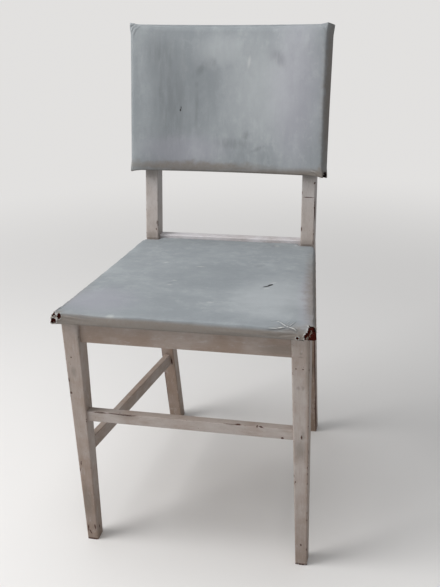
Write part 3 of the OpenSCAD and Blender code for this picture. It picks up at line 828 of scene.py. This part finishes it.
def ragged(point, size, reach, seed=0.0):
    """A smooth random number for a place, from -reach to reach."""
    return reach * noise.noise(point / (size * MM) + Vector((seed, seed, seed)))


def within(corner, reach):
    """A test of whether a point lies within reach of a corner."""
    return lambda point: (point - corner).length < reach


def inner_copy(thing, name, depth):
    """A copy of a closed form, drawn in by a depth, as the fibre under the cover."""
    mesh = thing.data.copy()
    normals = [v.normal.copy() for v in mesh.vertices]
    for v, normal in zip(mesh.vertices, normals):
        v.co -= normal * depth
    mesh.materials.clear()
    return placed(name, mesh)


def pocketed(thing, inside, push):
    """Pushes the faces that inside picks into the form, as a pocket for the board."""
    bm = bmesh.new()
    bm.from_mesh(thing.data)
    floor_faces = [f for f in bm.faces if inside(f.calc_center_median(), f.normal)]
    moved = bmesh.ops.extrude_face_region(bm, geom=floor_faces)["geom"]
    verts = [g for g in moved if isinstance(g, bmesh.types.BMVert)]
    bmesh.ops.translate(bm, verts=verts, vec=push)
    bm.to_mesh(thing.data)
    bm.free()
    thing.data.shade_smooth()


def softened_rim(bm):
    """Evens out the cut rim of an open skin, and returns its points."""
    rim = [v for v in bm.verts if v.is_boundary]
    for _ in range(2):
        bmesh.ops.smooth_vert(
            bm, verts=rim, factor=0.5, use_axis_x=True, use_axis_y=True, use_axis_z=True
        )
    return rim


def skinned(thing, name):
    """Gives an open skin its thickness, inwards, with its cut rim in a second material."""
    modified(
        thing, "SOLIDIFY", thickness=COVER_T, offset=-1, use_even_offset=True,
        thickness_clamp=1.0, material_offset_rim=1,
    )
    thing.name = name
    thing.data.name = name
    thing.data.shade_smooth()


print("pad tools ready")

# %% [markdown]
# ## The seat
# The seat's outline is wide at the front and notched round the posts. It could be extruded
# and rounded with a modifier, but then every edge would be the same: bevels of different
# sizes on the upright corners and round the top follow the real upholstery.

# %% The seat's outline
SEAT_CORNER = 6 * MM
SEAT_EDGE = 6.5 * MM
SEAT_SIDE_TAPER = 44.5 * MM
SWELL_ROOM = 1.0 * MM
SEAT_FLARE = -1.6 * MM

notch_y = post_low.y - POST_GAP
notch_x = post_high.x - POST_W - POST_GAP
seat_back_x = seat_high.x - SEAT_SIDE_TAPER


def seat_outline(inset):
    """Corners of the seat in plan. Round the posts the inset is never less than nothing."""
    behind = max(0.0, inset)
    half = [
        (seat_high.x - inset, seat_low.y + inset),
        (seat_back_x - inset, notch_y - behind),
        (notch_x - behind, notch_y - behind),
        (notch_x - behind, seat_high.y - behind),
    ]
    return half + [(-x, y) for x, y in reversed(half)]


def seat_form():
    bm = bmesh.new()
    top_z = seat_high.z - SWELL_ROOM
    rings = [(SEAT_FLARE, seat_low.z), (SWELL_ROOM, top_z)]
    base, top = [[bm.verts.new((x, y, z)) for x, y in seat_outline(inset)] for inset, z in rings]
    bm.faces.new(base)
    bm.faces.new(top)
    for index in range(len(base)):
        bm.faces.new((base[index - 1], base[index], top[index], top[index - 1]))
    bmesh.ops.recalc_face_normals(bm, faces=bm.faces)
    front = seat_low.y + 0.01
    upright = [
        e for e in bm.edges
        if abs(e.verts[0].co.z - e.verts[1].co.z) > MM and e.verts[0].co.y < front
    ]
    rounded(bm, upright, SEAT_CORNER, 6)
    rim = [
        e for e in bm.edges
        if all(v.co.z > top_z - 0.1 * MM for v in e.verts)
        and any(abs(f.normal.z) < 0.3 for f in e.link_faces)
    ]
    rounded(bm, rim, SEAT_EDGE, 5)
    return made_object("seat_form", bm)


seat = seat_form()
print("seat block:", len(seat.data.polygons), "faces")


# %% Distance from the outline
def edge_distance(point):
    """Distance in plan from a point to the seat's outline."""
    outline = [Vector((x, y)) for x, y in seat_outline(0)]
    plan = point.to_2d()
    return nearest_on(outline + outline[:1], plan)[0]


# %% Swell the seat
def seat_held(point):
    """1 where the seat lies on its rails or against the posts, and 0 elsewhere."""
    return 1.0 if point.z < seat_low.z + 5 * MM or point.y > notch_y - 10 * MM else 0.0


upholstered(seat, seat_held)
print("seat form:", len(seat.data.polygons), "faces")

# %% [markdown]
# ## Undulations of the seat
# The front edge isn't quite straight, and the front corners stand out a little. These are
# moves of the mesh's points, and the padding and the cover share them.

# %% Shape the seat
right_corner = Vector((seat_high.x, seat_low.y, seat_high.z))
left_corner = Vector((seat_low.x, seat_low.y, seat_high.z))
near_right, close_right = within(right_corner, 57 * MM), within(right_corner, 40 * MM)
near_left, close_left = within(left_corner, 41 * MM), within(left_corner, 28 * MM)

CORNER_REACH = 20 * MM
SEAT_PULL_X = 3.0 * MM
SEAT_PULL_Y = 1.5 * MM
seat_bm = bmesh.new()
seat_bm.from_mesh(seat.data)
crisp(seat_bm, notch_y - 12 * MM)
for v in seat_bm.verts:
    corner = Vector((math.copysign(seat_high.x, v.co.x), seat_low.y))
    pull = max(0.0, 1 - (v.co.to_2d() - corner).length / CORNER_REACH) ** 1.5
    v.co.x += math.copysign(SEAT_PULL_X, v.co.x) * pull
    v.co.y -= SEAT_PULL_Y * pull
    if v.co.z > seat_low.z + 6 * MM:
        front_share = max(0.0, 1 - (v.co.y - seat_low.y) / (26 * MM))
        wave = noise.noise(Vector((v.co.x / 0.045, 3.1, 0.0)))
        sway = noise.noise(Vector((v.co.x / 0.11, v.co.y / 0.11, 7.7)))
        v.co.z += (1.3 * wave * front_share + 0.8 * sway) * MM
        v.co.y += 0.7 * wave * front_share * MM
seat_bm.normal_update()
for region in (near_right, near_left, close_right, close_left):
    refine(seat_bm, region, 1)
seat_bm.normal_update()
seat_bm.to_mesh(seat.data)
print("seat shaped:", len(seat.data.vertices), "points")

# %% [markdown]
# ## The seat's padding and cover
# The padding is the form drawn in by the cover's thickness, with a pocket for the board.
# The cover is the same form as an open skin. Where the vinyl was pulled round the corners
# it lies in folds: each is a ridge along a short line, on a finer mesh. The underside is
# cut away inside the strip that is turned under the board, the torn corners are cut out,
# and the skin is made thick.

# %% Seat padding
seat_board_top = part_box("seat_board")[1].z


def under_board(point, normal):
    """The part of the form's underside that the board fills."""
    low = point.z < seat_low.z + 3 * MM and normal.z < -0.7
    return low and edge_distance(point) > EDGE_PAD


seat_padding = inner_copy(seat, "seat_fibre", COVER_T + 0.3 * MM)
TACK_HOLE = Vector((181, 431)) * MM
for v in seat_padding.data.vertices:
    if v.co.z > seat_low.z + 4 * MM and (near_right(v.co) or near_left(v.co)):
        v.co -= v.normal * (0.8 * MM + ragged(v.co, 3, 0.8 * MM))
        if v.co.y < seat_low.y + 8 * MM and (v.co.xz - TACK_HOLE).length < 2.6 * MM:
            v.co.y += 5 * MM
pocketed(seat_padding, under_board, (0, 0, seat_board_top - seat_low.z - COVER_T))
seat_padding.data.materials.append(stuffing)
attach(seat_padding, "root")
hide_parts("seat_padding")
print("seat padding:", len(seat_padding.data.polygons), "faces")

# %% Creases of the seat cover
PLEATS = 6
PLEAT_STEP = 12
seat_creases = [
    ([(139, -206, 449), (151, -208, 449), (158, -216, 449), (165, -222, 449),
      (176, -228, 446), (179, -228, 442)], 1.8, 1.6, 1.6),
    ([(131, -228, 443), (143, -228, 445), (155, -228, 447), (165, -222, 449),
      (170, -215, 449), (175, -204, 449)], 1.8, 1.5, 1.5),
    ([(161, -215, 449), (164, -209, 449), (167, -203, 449)], 1.6, 0.8, 0.7),
    ([(176, -228, 436), (150, -228, 433), (112, -228, 431)], 2.2, -1.1, 0.3),
    ([(172, -228, 440), (152, -228, 439), (128, -228, 437)], 2.2, 0.7, 0.2),
    ([(40, -228, 434), (90, -228, 433), (150, -228, 430)], 3.2, 0.8, 0.1),
    ([(-190, -228, 447), (-165, -228, 446), (-140, -228, 443)], 3.0, -0.4, 0.4),
    ([(-188, -228, 441), (-160, -228, 438), (-135, -228, 436)], 2.6, 1.0, 0.3),
    ([(-207, -221, 447), (-202, -196, 448)], 1.8, 1.0, 0.7),
    ([(-202, -216, 450), (-197, -190, 450)], 1.8, 0.8, 0.6),
]
for step in range(PLEATS):
    back_by = PLEAT_STEP * step
    low_end = (-206 + 0.12 * back_by, -214 + back_by, 440)
    high_end = (-194 + 0.12 * back_by, -203 + back_by, 449)
    seat_creases.append(([low_end, high_end], 2.4, 0.9, 0.35))
for line in seat_creases:
    crease(seat_bm, *line)
seat_bm.to_mesh(seat.data)
seat_bm.free()
print("seat mesh after creasing:", len(seat.data.polygons), "faces")

# %% Seat cover
TURN_UNDER = 52 * MM
TEAR_TOP = 447.5 * MM


def torn_right(point):
    """Inside the tear at the right front corner, which is wider lower down."""
    high = (point.z - seat_low.z) / (seat_high.z - seat_low.z)
    rough = ragged(point, 4, 3.0 * MM) + ragged(point, 1.8, 3.2 * MM, 5)
    from_side = seat_high.x - point.x
    from_front = point.y - seat_low.y
    wide = (10.5 + 9 * (1 - high)) * MM + rough
    deep = (11 + 6 * (1 - high)) * MM + rough
    return point.z < TEAR_TOP + 0.5 * rough and from_side < wide and from_front < deep


def holed_left(point):
    """Inside one of the three small holes worn through at the left front corner."""
    holes = [((-205, -227, 443), (4.6, 8, 2.4)), ((-194, -228, 441), (3.4, 6, 5.0)),
             ((-204, -227, 433), (5.6, 8, 4.2))]
    shaken = point + Vector((1, 0.5, 1)) * ragged(point, 2, 1.3 * MM, 2)
    for at, size in holes:
        offset = shaken - Vector(at) * MM
        if sum((offset[i] / (size[i] * MM)) ** 2 for i in range(3)) < 1:
            return True
    return False


def tack_hole(point):
    """Inside the round hole that a lost tack left in the front."""
    near_front = point.y < seat_low.y + 4 * MM
    return near_front and (point.xz - TACK_HOLE).length < 2.2 * MM + ragged(point, 1.5, 0.4 * MM)


cover_bm = bmesh.new()
cover_bm.from_mesh(seat.data)
under = []
for face in cover_bm.faces:
    middle = face.calc_center_median()
    flat_under = middle.z < seat_low.z + 2 * MM and face.normal.z < -0.7
    if flat_under and edge_distance(middle) > TURN_UNDER:
        under.append(face)
    elif near_right(middle) and (torn_right(middle) or tack_hole(middle)):
        under.append(face)
    elif near_left(middle) and holed_left(middle):
        under.append(face)
bmesh.ops.delete(cover_bm, geom=under, context="FACES")
rim = softened_rim(cover_bm)
cover_bm.normal_update()
fold = cover_bm.verts.layers.float["fold"]
torn_rim = [v.co.copy() for v in rim if v.co.z > seat_low.z + MM]
for v in cover_bm.verts:
    if close_right(v.co) or close_left(v.co):
        gap = min((v.co - p).length for p in torn_rim)
        if gap < 4 * MM:
            v.co += v.normal * (1.0 + ragged(v.co, 5, 1.0)) * MM * (1 - gap / (4 * MM)) ** 2
            v[fold] += max(0.0, 1 - gap / (2.4 * MM)) * (0.6 + ragged(v.co, 2.5, 1.2))
seat_cover = made_object("seat_vinyl", cover_bm)
seat_cover.data.materials.append(vinyl(
    "seat_vinyl",
    stretch=(1.8, 1, 1),
    cloudy=0.5,
    shaded=tops((-150, -195, 110, 34), (-40, -212, 190, 18), (20, -60, 90, 50)),
    # The two thin lines on the front are painted shade along folds.
    dark=tops((-50, -92, 4.5, 1.3, 12), (-47, -86, 4.5, 1.3, 8), (82, 2, 8, 5, 30),
              (91, 106, 5, 6)) + fronts((130, 430, 40, 1.2, 3), (-160, 441, 26, 1.2, 8), y=-228),
    pale=tops((130, -120, 60, 70)),
    scuffs=tops(
        (-18, -14, 7, 1.6), (-50, -99, 4.5, 1.3, 10), (-47, -81, 4, 1.3), (119, -69, 5, 1.5, 35),
        (111, -94, 5, 1.6, 20), (-111, -224, 6, 5), (33, -159, 5, 2), (-84, -3, 5, 2, 30),
        (95, 108, 4, 6, 20), (130, 118, 4, 5),
    ) + [((184, -228, 429), (9, 8, 2)), ((195, -228, 440), (2, 8, 6), (0, 10, 0))],
    # The long zone on the right edge is brown painted shade, where the edge turns from the light.
    brown_dirt_and_shade=[((190, -224, 433), (44, 16, 13)), ((-202, -222, 434), (16, 14, 12)),
           ((189, -90, 443), (15, 150, 13), (0, 0, 7.2))],
    cuts=tops((110, -85, 6.5, 1.8, 30), (115.6, -78.4, 5, 2.7, 44))
    + [((188, -229, 427.5), (5, 7, 1.1)), ((194, -229, 430), (2.5, 7, 1.4))],
    lilac=tops((-150, -170, 60, 40), (185, -120, 16, 110, 7)),
    soil_line=(0.4445, 0.438, 0.012),
))
seat_cover.data.materials.append(torn_cloth)
skinned(seat_cover, "seat_vinyl")
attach(seat_cover, "root")
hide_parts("seat_cover")
bpy.data.objects.remove(seat)
print("seat cover:", len(seat_cover.data.polygons), "faces")

# %% [markdown]
# ## The backrest
# The backrest is a flat pad bent over a curved board. It is made flat first, with its width
# along X, its thickness along Y and its height along Z, because a flat form is easy to
# bevel and swell. A function then bends it round an upright axis and leans it back onto
# the posts. Each point keeps its flat place in an attribute, which the vinyl reads.

# %% Place of the backrest
BACK_W = 354.4 * MM
BACK_H = 259.5 * MM
BACK_R = 806.24 * MM
BACK_AXIS = -825.24 * MM
BACK_RISE = 127.5 * MM
BACK_PAD_T = 20 * MM
BACK_DEPTH = 31.42 * MM
BACK_TURN_IN = 22 * MM
BACK_EDGE = 7 * MM
BACK_GROWN = 1.2 * MM
LEAN = 11.1
SKEW = 0.45

onto_posts = (
    Matrix.Translation((0, post_low.y, seat_high.z))
    @ turned(-LEAN, "X")
    @ Matrix.Translation((0, 0, BACK_RISE + BACK_H / 2))
    @ turned(SKEW, "Y")
)


def bent(point):
    """Where a point of the flat pad lies on the chair."""
    angle = point.x / BACK_R
    radius = BACK_R + point.y
    curved = (radius * math.sin(angle), BACK_AXIS + radius * math.cos(angle), point.z)
    return onto_posts @ Vector(curved)


def bend_mesh(thing):
    flat = thing.data.attributes.new("flat", "FLOAT_VECTOR", "POINT")
    for v, place in zip(thing.data.vertices, flat.data):
        place.vector = v.co
        v.co = bent(v.co)


def back_form():
    bm = bmesh.new()
    bmesh.ops.create_cube(bm, size=1)
    size = (BACK_W + 2 * BACK_GROWN, BACK_DEPTH - SWELL_ROOM, BACK_H + 2 * BACK_GROWN)
    bmesh.ops.scale(bm, vec=size, verts=bm.verts)
    bmesh.ops.translate(bm, vec=(0, (BACK_DEPTH + SWELL_ROOM) / 2, 0), verts=bm.verts)
    front = [e for e in bm.edges if all(v.co.y < BACK_DEPTH / 2 for v in e.verts)]
    rounded(bm, front, BACK_EDGE, 5)
    return made_object("back_form", bm)


def back_held(point):
    return 1.0 if point.y > BACK_DEPTH - 7 * MM else 0.0


back = back_form()
upholstered(back, back_held)
print("backrest form:", len(back.data.polygons), "faces")

# %% Shape the backrest
low_right = Vector((BACK_W / 2, 8 * MM, -BACK_H / 2))
top_left = Vector((-BACK_W / 2, 4 * MM, BACK_H / 2))
top_right = Vector((BACK_W / 2, 4 * MM, BACK_H / 2))
near_hole = within(low_right, 24 * MM)


def near_pleats(point):
    return min((point - top_left).length, (point - top_right).length) < 30 * MM


BACK_PULL = 2.6 * MM
TOP_DIP = 2.0 * MM
END_FLARE = 3.5 * MM
REAR_DROP = 5.5 * MM
back_bm = bmesh.new()
back_bm.from_mesh(back.data)
crisp(back_bm, BACK_DEPTH - 6 * MM)
for v in back_bm.verts:
    if v.co.y < BACK_DEPTH - 6 * MM:
        dip = 1 - (v.co.x / (BACK_W / 2)) ** 2
        upper = max(0.0, v.co.z / (BACK_H / 2)) ** 4
        sway = noise.noise(Vector((v.co.x / 0.07, v.co.z / 0.1, 1.3)))
        v.co.z -= TOP_DIP * dip * upper
        v.co.y += 0.9 * MM * sway
        corner = Vector((math.copysign(BACK_W / 2, v.co.x), math.copysign(BACK_H / 2, v.co.z)))
        gap = (Vector((v.co.x, v.co.z)) - corner).length
        pull = max(0.0, 1 - gap / CORNER_REACH) ** 1.5
        v.co.x += math.copysign(BACK_PULL, v.co.x) * pull
        v.co.z += math.copysign(BACK_PULL, v.co.z) * pull
        if v.co.x > 0:
            rear = max(0.0, v.co.y / BACK_DEPTH * (0.5 + v.co.z / BACK_H))
            v.co.x += END_FLARE * rear * min(1.0, v.co.x / (BACK_W / 2)) ** 24
            v.co.z -= REAR_DROP * rear ** 1.5 * max(0.0, 1 - gap / (24 * MM))
back_bm.normal_update()
refine(back_bm, near_hole, 2)
refine(back_bm, near_pleats, 1)
back_bm.normal_update()
half_w, half_h = BACK_W / 2 / MM, BACK_H / 2 / MM
for line in (
    ([(-half_w + 1, 6, half_h - 14), (-half_w + 3, 4, half_h - 5),
      (-half_w + 12, 5, half_h)], 2.6, -1.2, 0.2),
    ([(-half_w + 5, 2, half_h - 22), (-half_w + 9, 0, half_h - 10),
      (-half_w + 20, 3, half_h)], 3.0, 0.5, 0.1),
    ([(half_w - 16, 1, half_h), (half_w - 8, 1, half_h - 8),
      (half_w - 2, 5, half_h - 22)], 3.0, 0.7, 0.2),
    ([(half_w - 26, 0, -half_h + 10), (half_w - 12, 1, -half_h + 7),
      (half_w - 5, 4, -half_h + 1)], 2.6, 0.9, 0.3),
):
    crease(back_bm, *line)
back_bm.to_mesh(back.data)
back_bm.free()
print("backrest mesh:", len(back.data.polygons), "faces")

# %% Backrest padding
def behind_board(point, normal):
    """The part of the flat form's back that the board fills."""
    inside = min(BACK_W / 2 - abs(point.x), BACK_H / 2 - abs(point.z))
    return normal.y > 0.7 and point.y > BACK_DEPTH - 4 * MM and inside > EDGE_PAD


back_padding = inner_copy(back, "back_fibre", COVER_T + 0.1 * MM)
pocketed(back_padding, behind_board, (0, COVER_T + BACK_PAD_T - BACK_DEPTH + COVER_T, 0))
bend_mesh(back_padding)
# Its near-black fibre is painted shade in the worn hole.
back_padding.data.materials.append(painted_shade_stuffing)
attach(back_padding, "root")
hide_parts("back_padding")
print("backrest padding:", len(back_padding.data.polygons), "faces")


# %% Backrest cover
def back_open(point, normal):
    """The part of the flat form's back that the cover leaves open."""
    inside = min(BACK_W / 2 - abs(point.x), BACK_H / 2 - abs(point.z))
    return normal.y > 0.7 and point.y > BACK_DEPTH - 3 * MM and inside > BACK_TURN_IN


def worn_hole(point):
    """The hole worn through at the lower right corner."""
    at = Vector((BACK_W / 2, BACK_DEPTH / 2, -BACK_H / 2 + 1.5 * MM))
    return (point - at).length < 7.0 * MM + ragged(point, 2.5, 2.0 * MM)


skin_bm = bmesh.new()
skin_bm.from_mesh(back.data)
gone = [
    f for f in skin_bm.faces
    if back_open(f.calc_center_median(), f.normal) or worn_hole(f.calc_center_median())
]
bmesh.ops.delete(skin_bm, geom=gone, context="FACES")
softened_rim(skin_bm)
back_cover = made_object("back_vinyl", skin_bm)
back_cover.data.materials.append(vinyl(
    "back_vinyl",
    attribute="flat",
    stretch=(1, 1, 2.4),
    cloudy=0.62,
    shaded=[((-112, 0, 10), (46, 30, 120)), ((-60, 0, 20), (60, 30, 80)),
            ((-172, 0, 20), (12, 16, 120)), ((0, 2, 128), (170, 6, 6))],
    dark=fronts(
        (-56, -18, 3.2, 32, 2), (-46, 54, 6, 22, 48), (-122, 35, 3.6, 70, 1), (-104, 62, 4, 18),
        (-116, 76, 20, 34), (-100, -10, 26, 80), (12, -76, 26, 8), (35, -62, 6, 8, 35),
        (-30, 66, 9, 7), (60, -84, 12, 3, -25), (92, 72, 9, 14, -40), (-56, 26, 3, 6),
        (-57, -34, 3, 8), y=0, deep=12,
    ),
    pale=[((-10, 0, 84), (44, 20, 26)), ((60, 0, 20), (60, 20, 80))],
    scuffs=[((39, 0, 66), (2.4, 12, 9), (0, 8, 0))],
    brown_dirt_and_shade=[((-60, 4, -120), (130, 20, 9)), ((174, 6, -124), (9, 20, 12)),
           ((179, 17, 0), (9, 16, 145))],
    soil_line=(-0.116, -0.130, -0.03),
    cuts=[((-85, 0, -19), (1.3, 8, 2.2)), ((-84, 0, -15), (0.6, 8, 2.6))],
    lilac=[((125, 0, 20), (40, 20, 120)), ((-80, 0, -90), (70, 20, 26))],
    cloud_size=60,
))
back_cover.data.materials.append(torn_cloth)
skinned(back_cover, "back_vinyl")
bend_mesh(back_cover)
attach(back_cover, "root")
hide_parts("back_cover")
bpy.data.objects.remove(back)

lining_smears = [((-40, 170, 700), (60, 60, 40)), ((70, 170, 640), (40, 60, 30))]
coat(vinyl("lining", dark=lining_smears, cloud_size=90), "back_lining")
print("backrest cover:", len(back_cover.data.polygons), "faces")

# %% [markdown]
# ## Lifted paint and torn threads
# Two small things stand off the surfaces: flakes of paint that have curled away from the
# wood's edges, and threads of the cloth backing round the tears. A flake is a small grid
# with a ragged outline and a curl, made thick. A thread is a thin square tube of a few
# steps, each pushed on from the last one in a slightly different direction.

# %% Paint flakes
def flake(bm, at, turn, length, width, lift, seed):
    """A flake that is still held along one long side, its other side curled up."""
    grid = bmesh.ops.create_grid(bm, x_segments=14, y_segments=4, size=0.5)["verts"]
    for v in grid:
        along, across = v.co.x, v.co.y + 0.5
        taper = (1 - (2 * along) ** 2) ** 0.5 if abs(along) < 0.5 else 0.0
        rough = 1 + 0.5 * noise.noise(Vector((along * length / (3 * MM), seed, 0)))
        out = across * width * taper * rough
        bend = lift * taper * across ** 2 * (0.7 + 0.5 * noise.noise(Vector((along * 4, seed, 2))))
        v.co = Vector((along * length, out, bend))
    place = Matrix.Translation(Vector(at) * MM)
    for axis, angle in zip("XYZ", turn):
        place = place @ turned(angle, axis)
    bmesh.ops.transform(bm, matrix=place, verts=grid)


FLAKE_T = 0.35 * MM
flake_bm = bmesh.new()
flake_rows = [
    ((-112, -210.2, 261.2), (172, 0, 2), 46, 3.2, -1.6),
    ((-150, -209.6, 261.2), (170, 0, -3), 17, 2.2, -0.8),
    ((70, -209.8, 261.2), (172, 0, 1), 22, 1.8, -0.7),
    ((-136.4, 126, 477), (90, 0, 90), 9, 2.2, 1.2),
    ((160.2, 166.0, 205), (0, 80, 0), 26, 2.4, 1.2),
]
for seed, (at, turn, *sizes) in enumerate(flake_rows, 1):
    flake(flake_bm, at, turn, *(size * MM for size in sizes), seed)
flakes = made_object("paint_flakes", flake_bm)
primer = Finish("primer")
primer.set(base_color=rgba(PRIMER), roughness=0.8, normal=primer.bump(primer.noise(1.5) * 0.2))
flakes.data.materials.append(painted("paint_flakes", ALONG_X, age=0.36, wear=1.2, shift=30))
flakes.data.materials.append(primer.material)
modified(flakes, "SOLIDIFY", thickness=FLAKE_T, offset=-1, material_offset=1)
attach(flakes, "root")
print("paint flakes:", len(flakes.data.polygons), "faces")


# %% Torn threads
chance = random.Random(7)
pick = chance.uniform


def thread(bm, start, direction, length):
    radius = pick(0.13, 0.22) * MM
    way = direction.normalized()
    place = Matrix.Translation(start) @ way.to_track_quat("Z", "Y").to_matrix().to_4x4()
    ring = bmesh.ops.create_circle(bm, cap_ends=True, segments=4, radius=radius, matrix=place)
    face = ring["verts"][0].link_faces[0]
    keep = True
    for _ in range(5):
        bend = [pick(-0.6, 0.6) for _ in range(3)]
        way = (way + Vector(bend) - Vector((0, 0, 0.18))).normalized()
        pushed = bmesh.ops.extrude_face_region(bm, geom=[face], use_keep_orig=keep)["geom"]
        keep = False
        verts = [g for g in pushed if isinstance(g, bmesh.types.BMVert)]
        face = [g for g in pushed if isinstance(g, bmesh.types.BMFace)][0]
        bmesh.ops.translate(bm, verts=verts, vec=way * length / 5)
        middle = face.calc_center_median()
        bmesh.ops.scale(bm, vec=(0.86,) * 3, space=Matrix.Translation(-middle), verts=verts)


thread_bm = bmesh.new()
for _ in range(34):
    up = chance.random()
    start = (
        Vector((204 - 10 * (1 - up) - 3 * chance.random(), -227, 427 + 19 * up))
        if chance.random() < 0.7
        else Vector((207.5, -218 + 4 * up, 428 + 17 * up))
    )
    out = Vector((pick(-0.2, 1.0), pick(-1, 0.1), pick(-0.9, 0.4)))
    thread(thread_bm, start * MM, out, pick(2, 5) * MM)
for _ in range(8):
    start = Vector((pick(-206, -199), -226.5, pick(428, 442)))
    out = Vector((pick(-1, 0.3), pick(-1, 0), pick(-0.9, 0.2)))
    thread(thread_bm, start * MM, out, pick(1.2, 2.6) * MM)
for _ in range(10):
    turn = pick(1.2, 3.4)
    edge = Vector((BACK_W / 2 + 5.5 * MM * math.cos(turn), 8 * MM,
                   -BACK_H / 2 + 5.5 * MM * math.sin(turn)))
    out = Vector((pick(-0.3, 0.8), -0.5, pick(-1, 0)))
    thread(thread_bm, bent(edge), out, pick(2, 4) * MM)
bmesh.ops.recalc_face_normals(thread_bm, faces=thread_bm.faces)
threads = made_object("torn_threads", thread_bm)
threads.data.materials.append(torn_cloth)
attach(threads, "root")
print("threads:", len(threads.data.polygons), "faces")
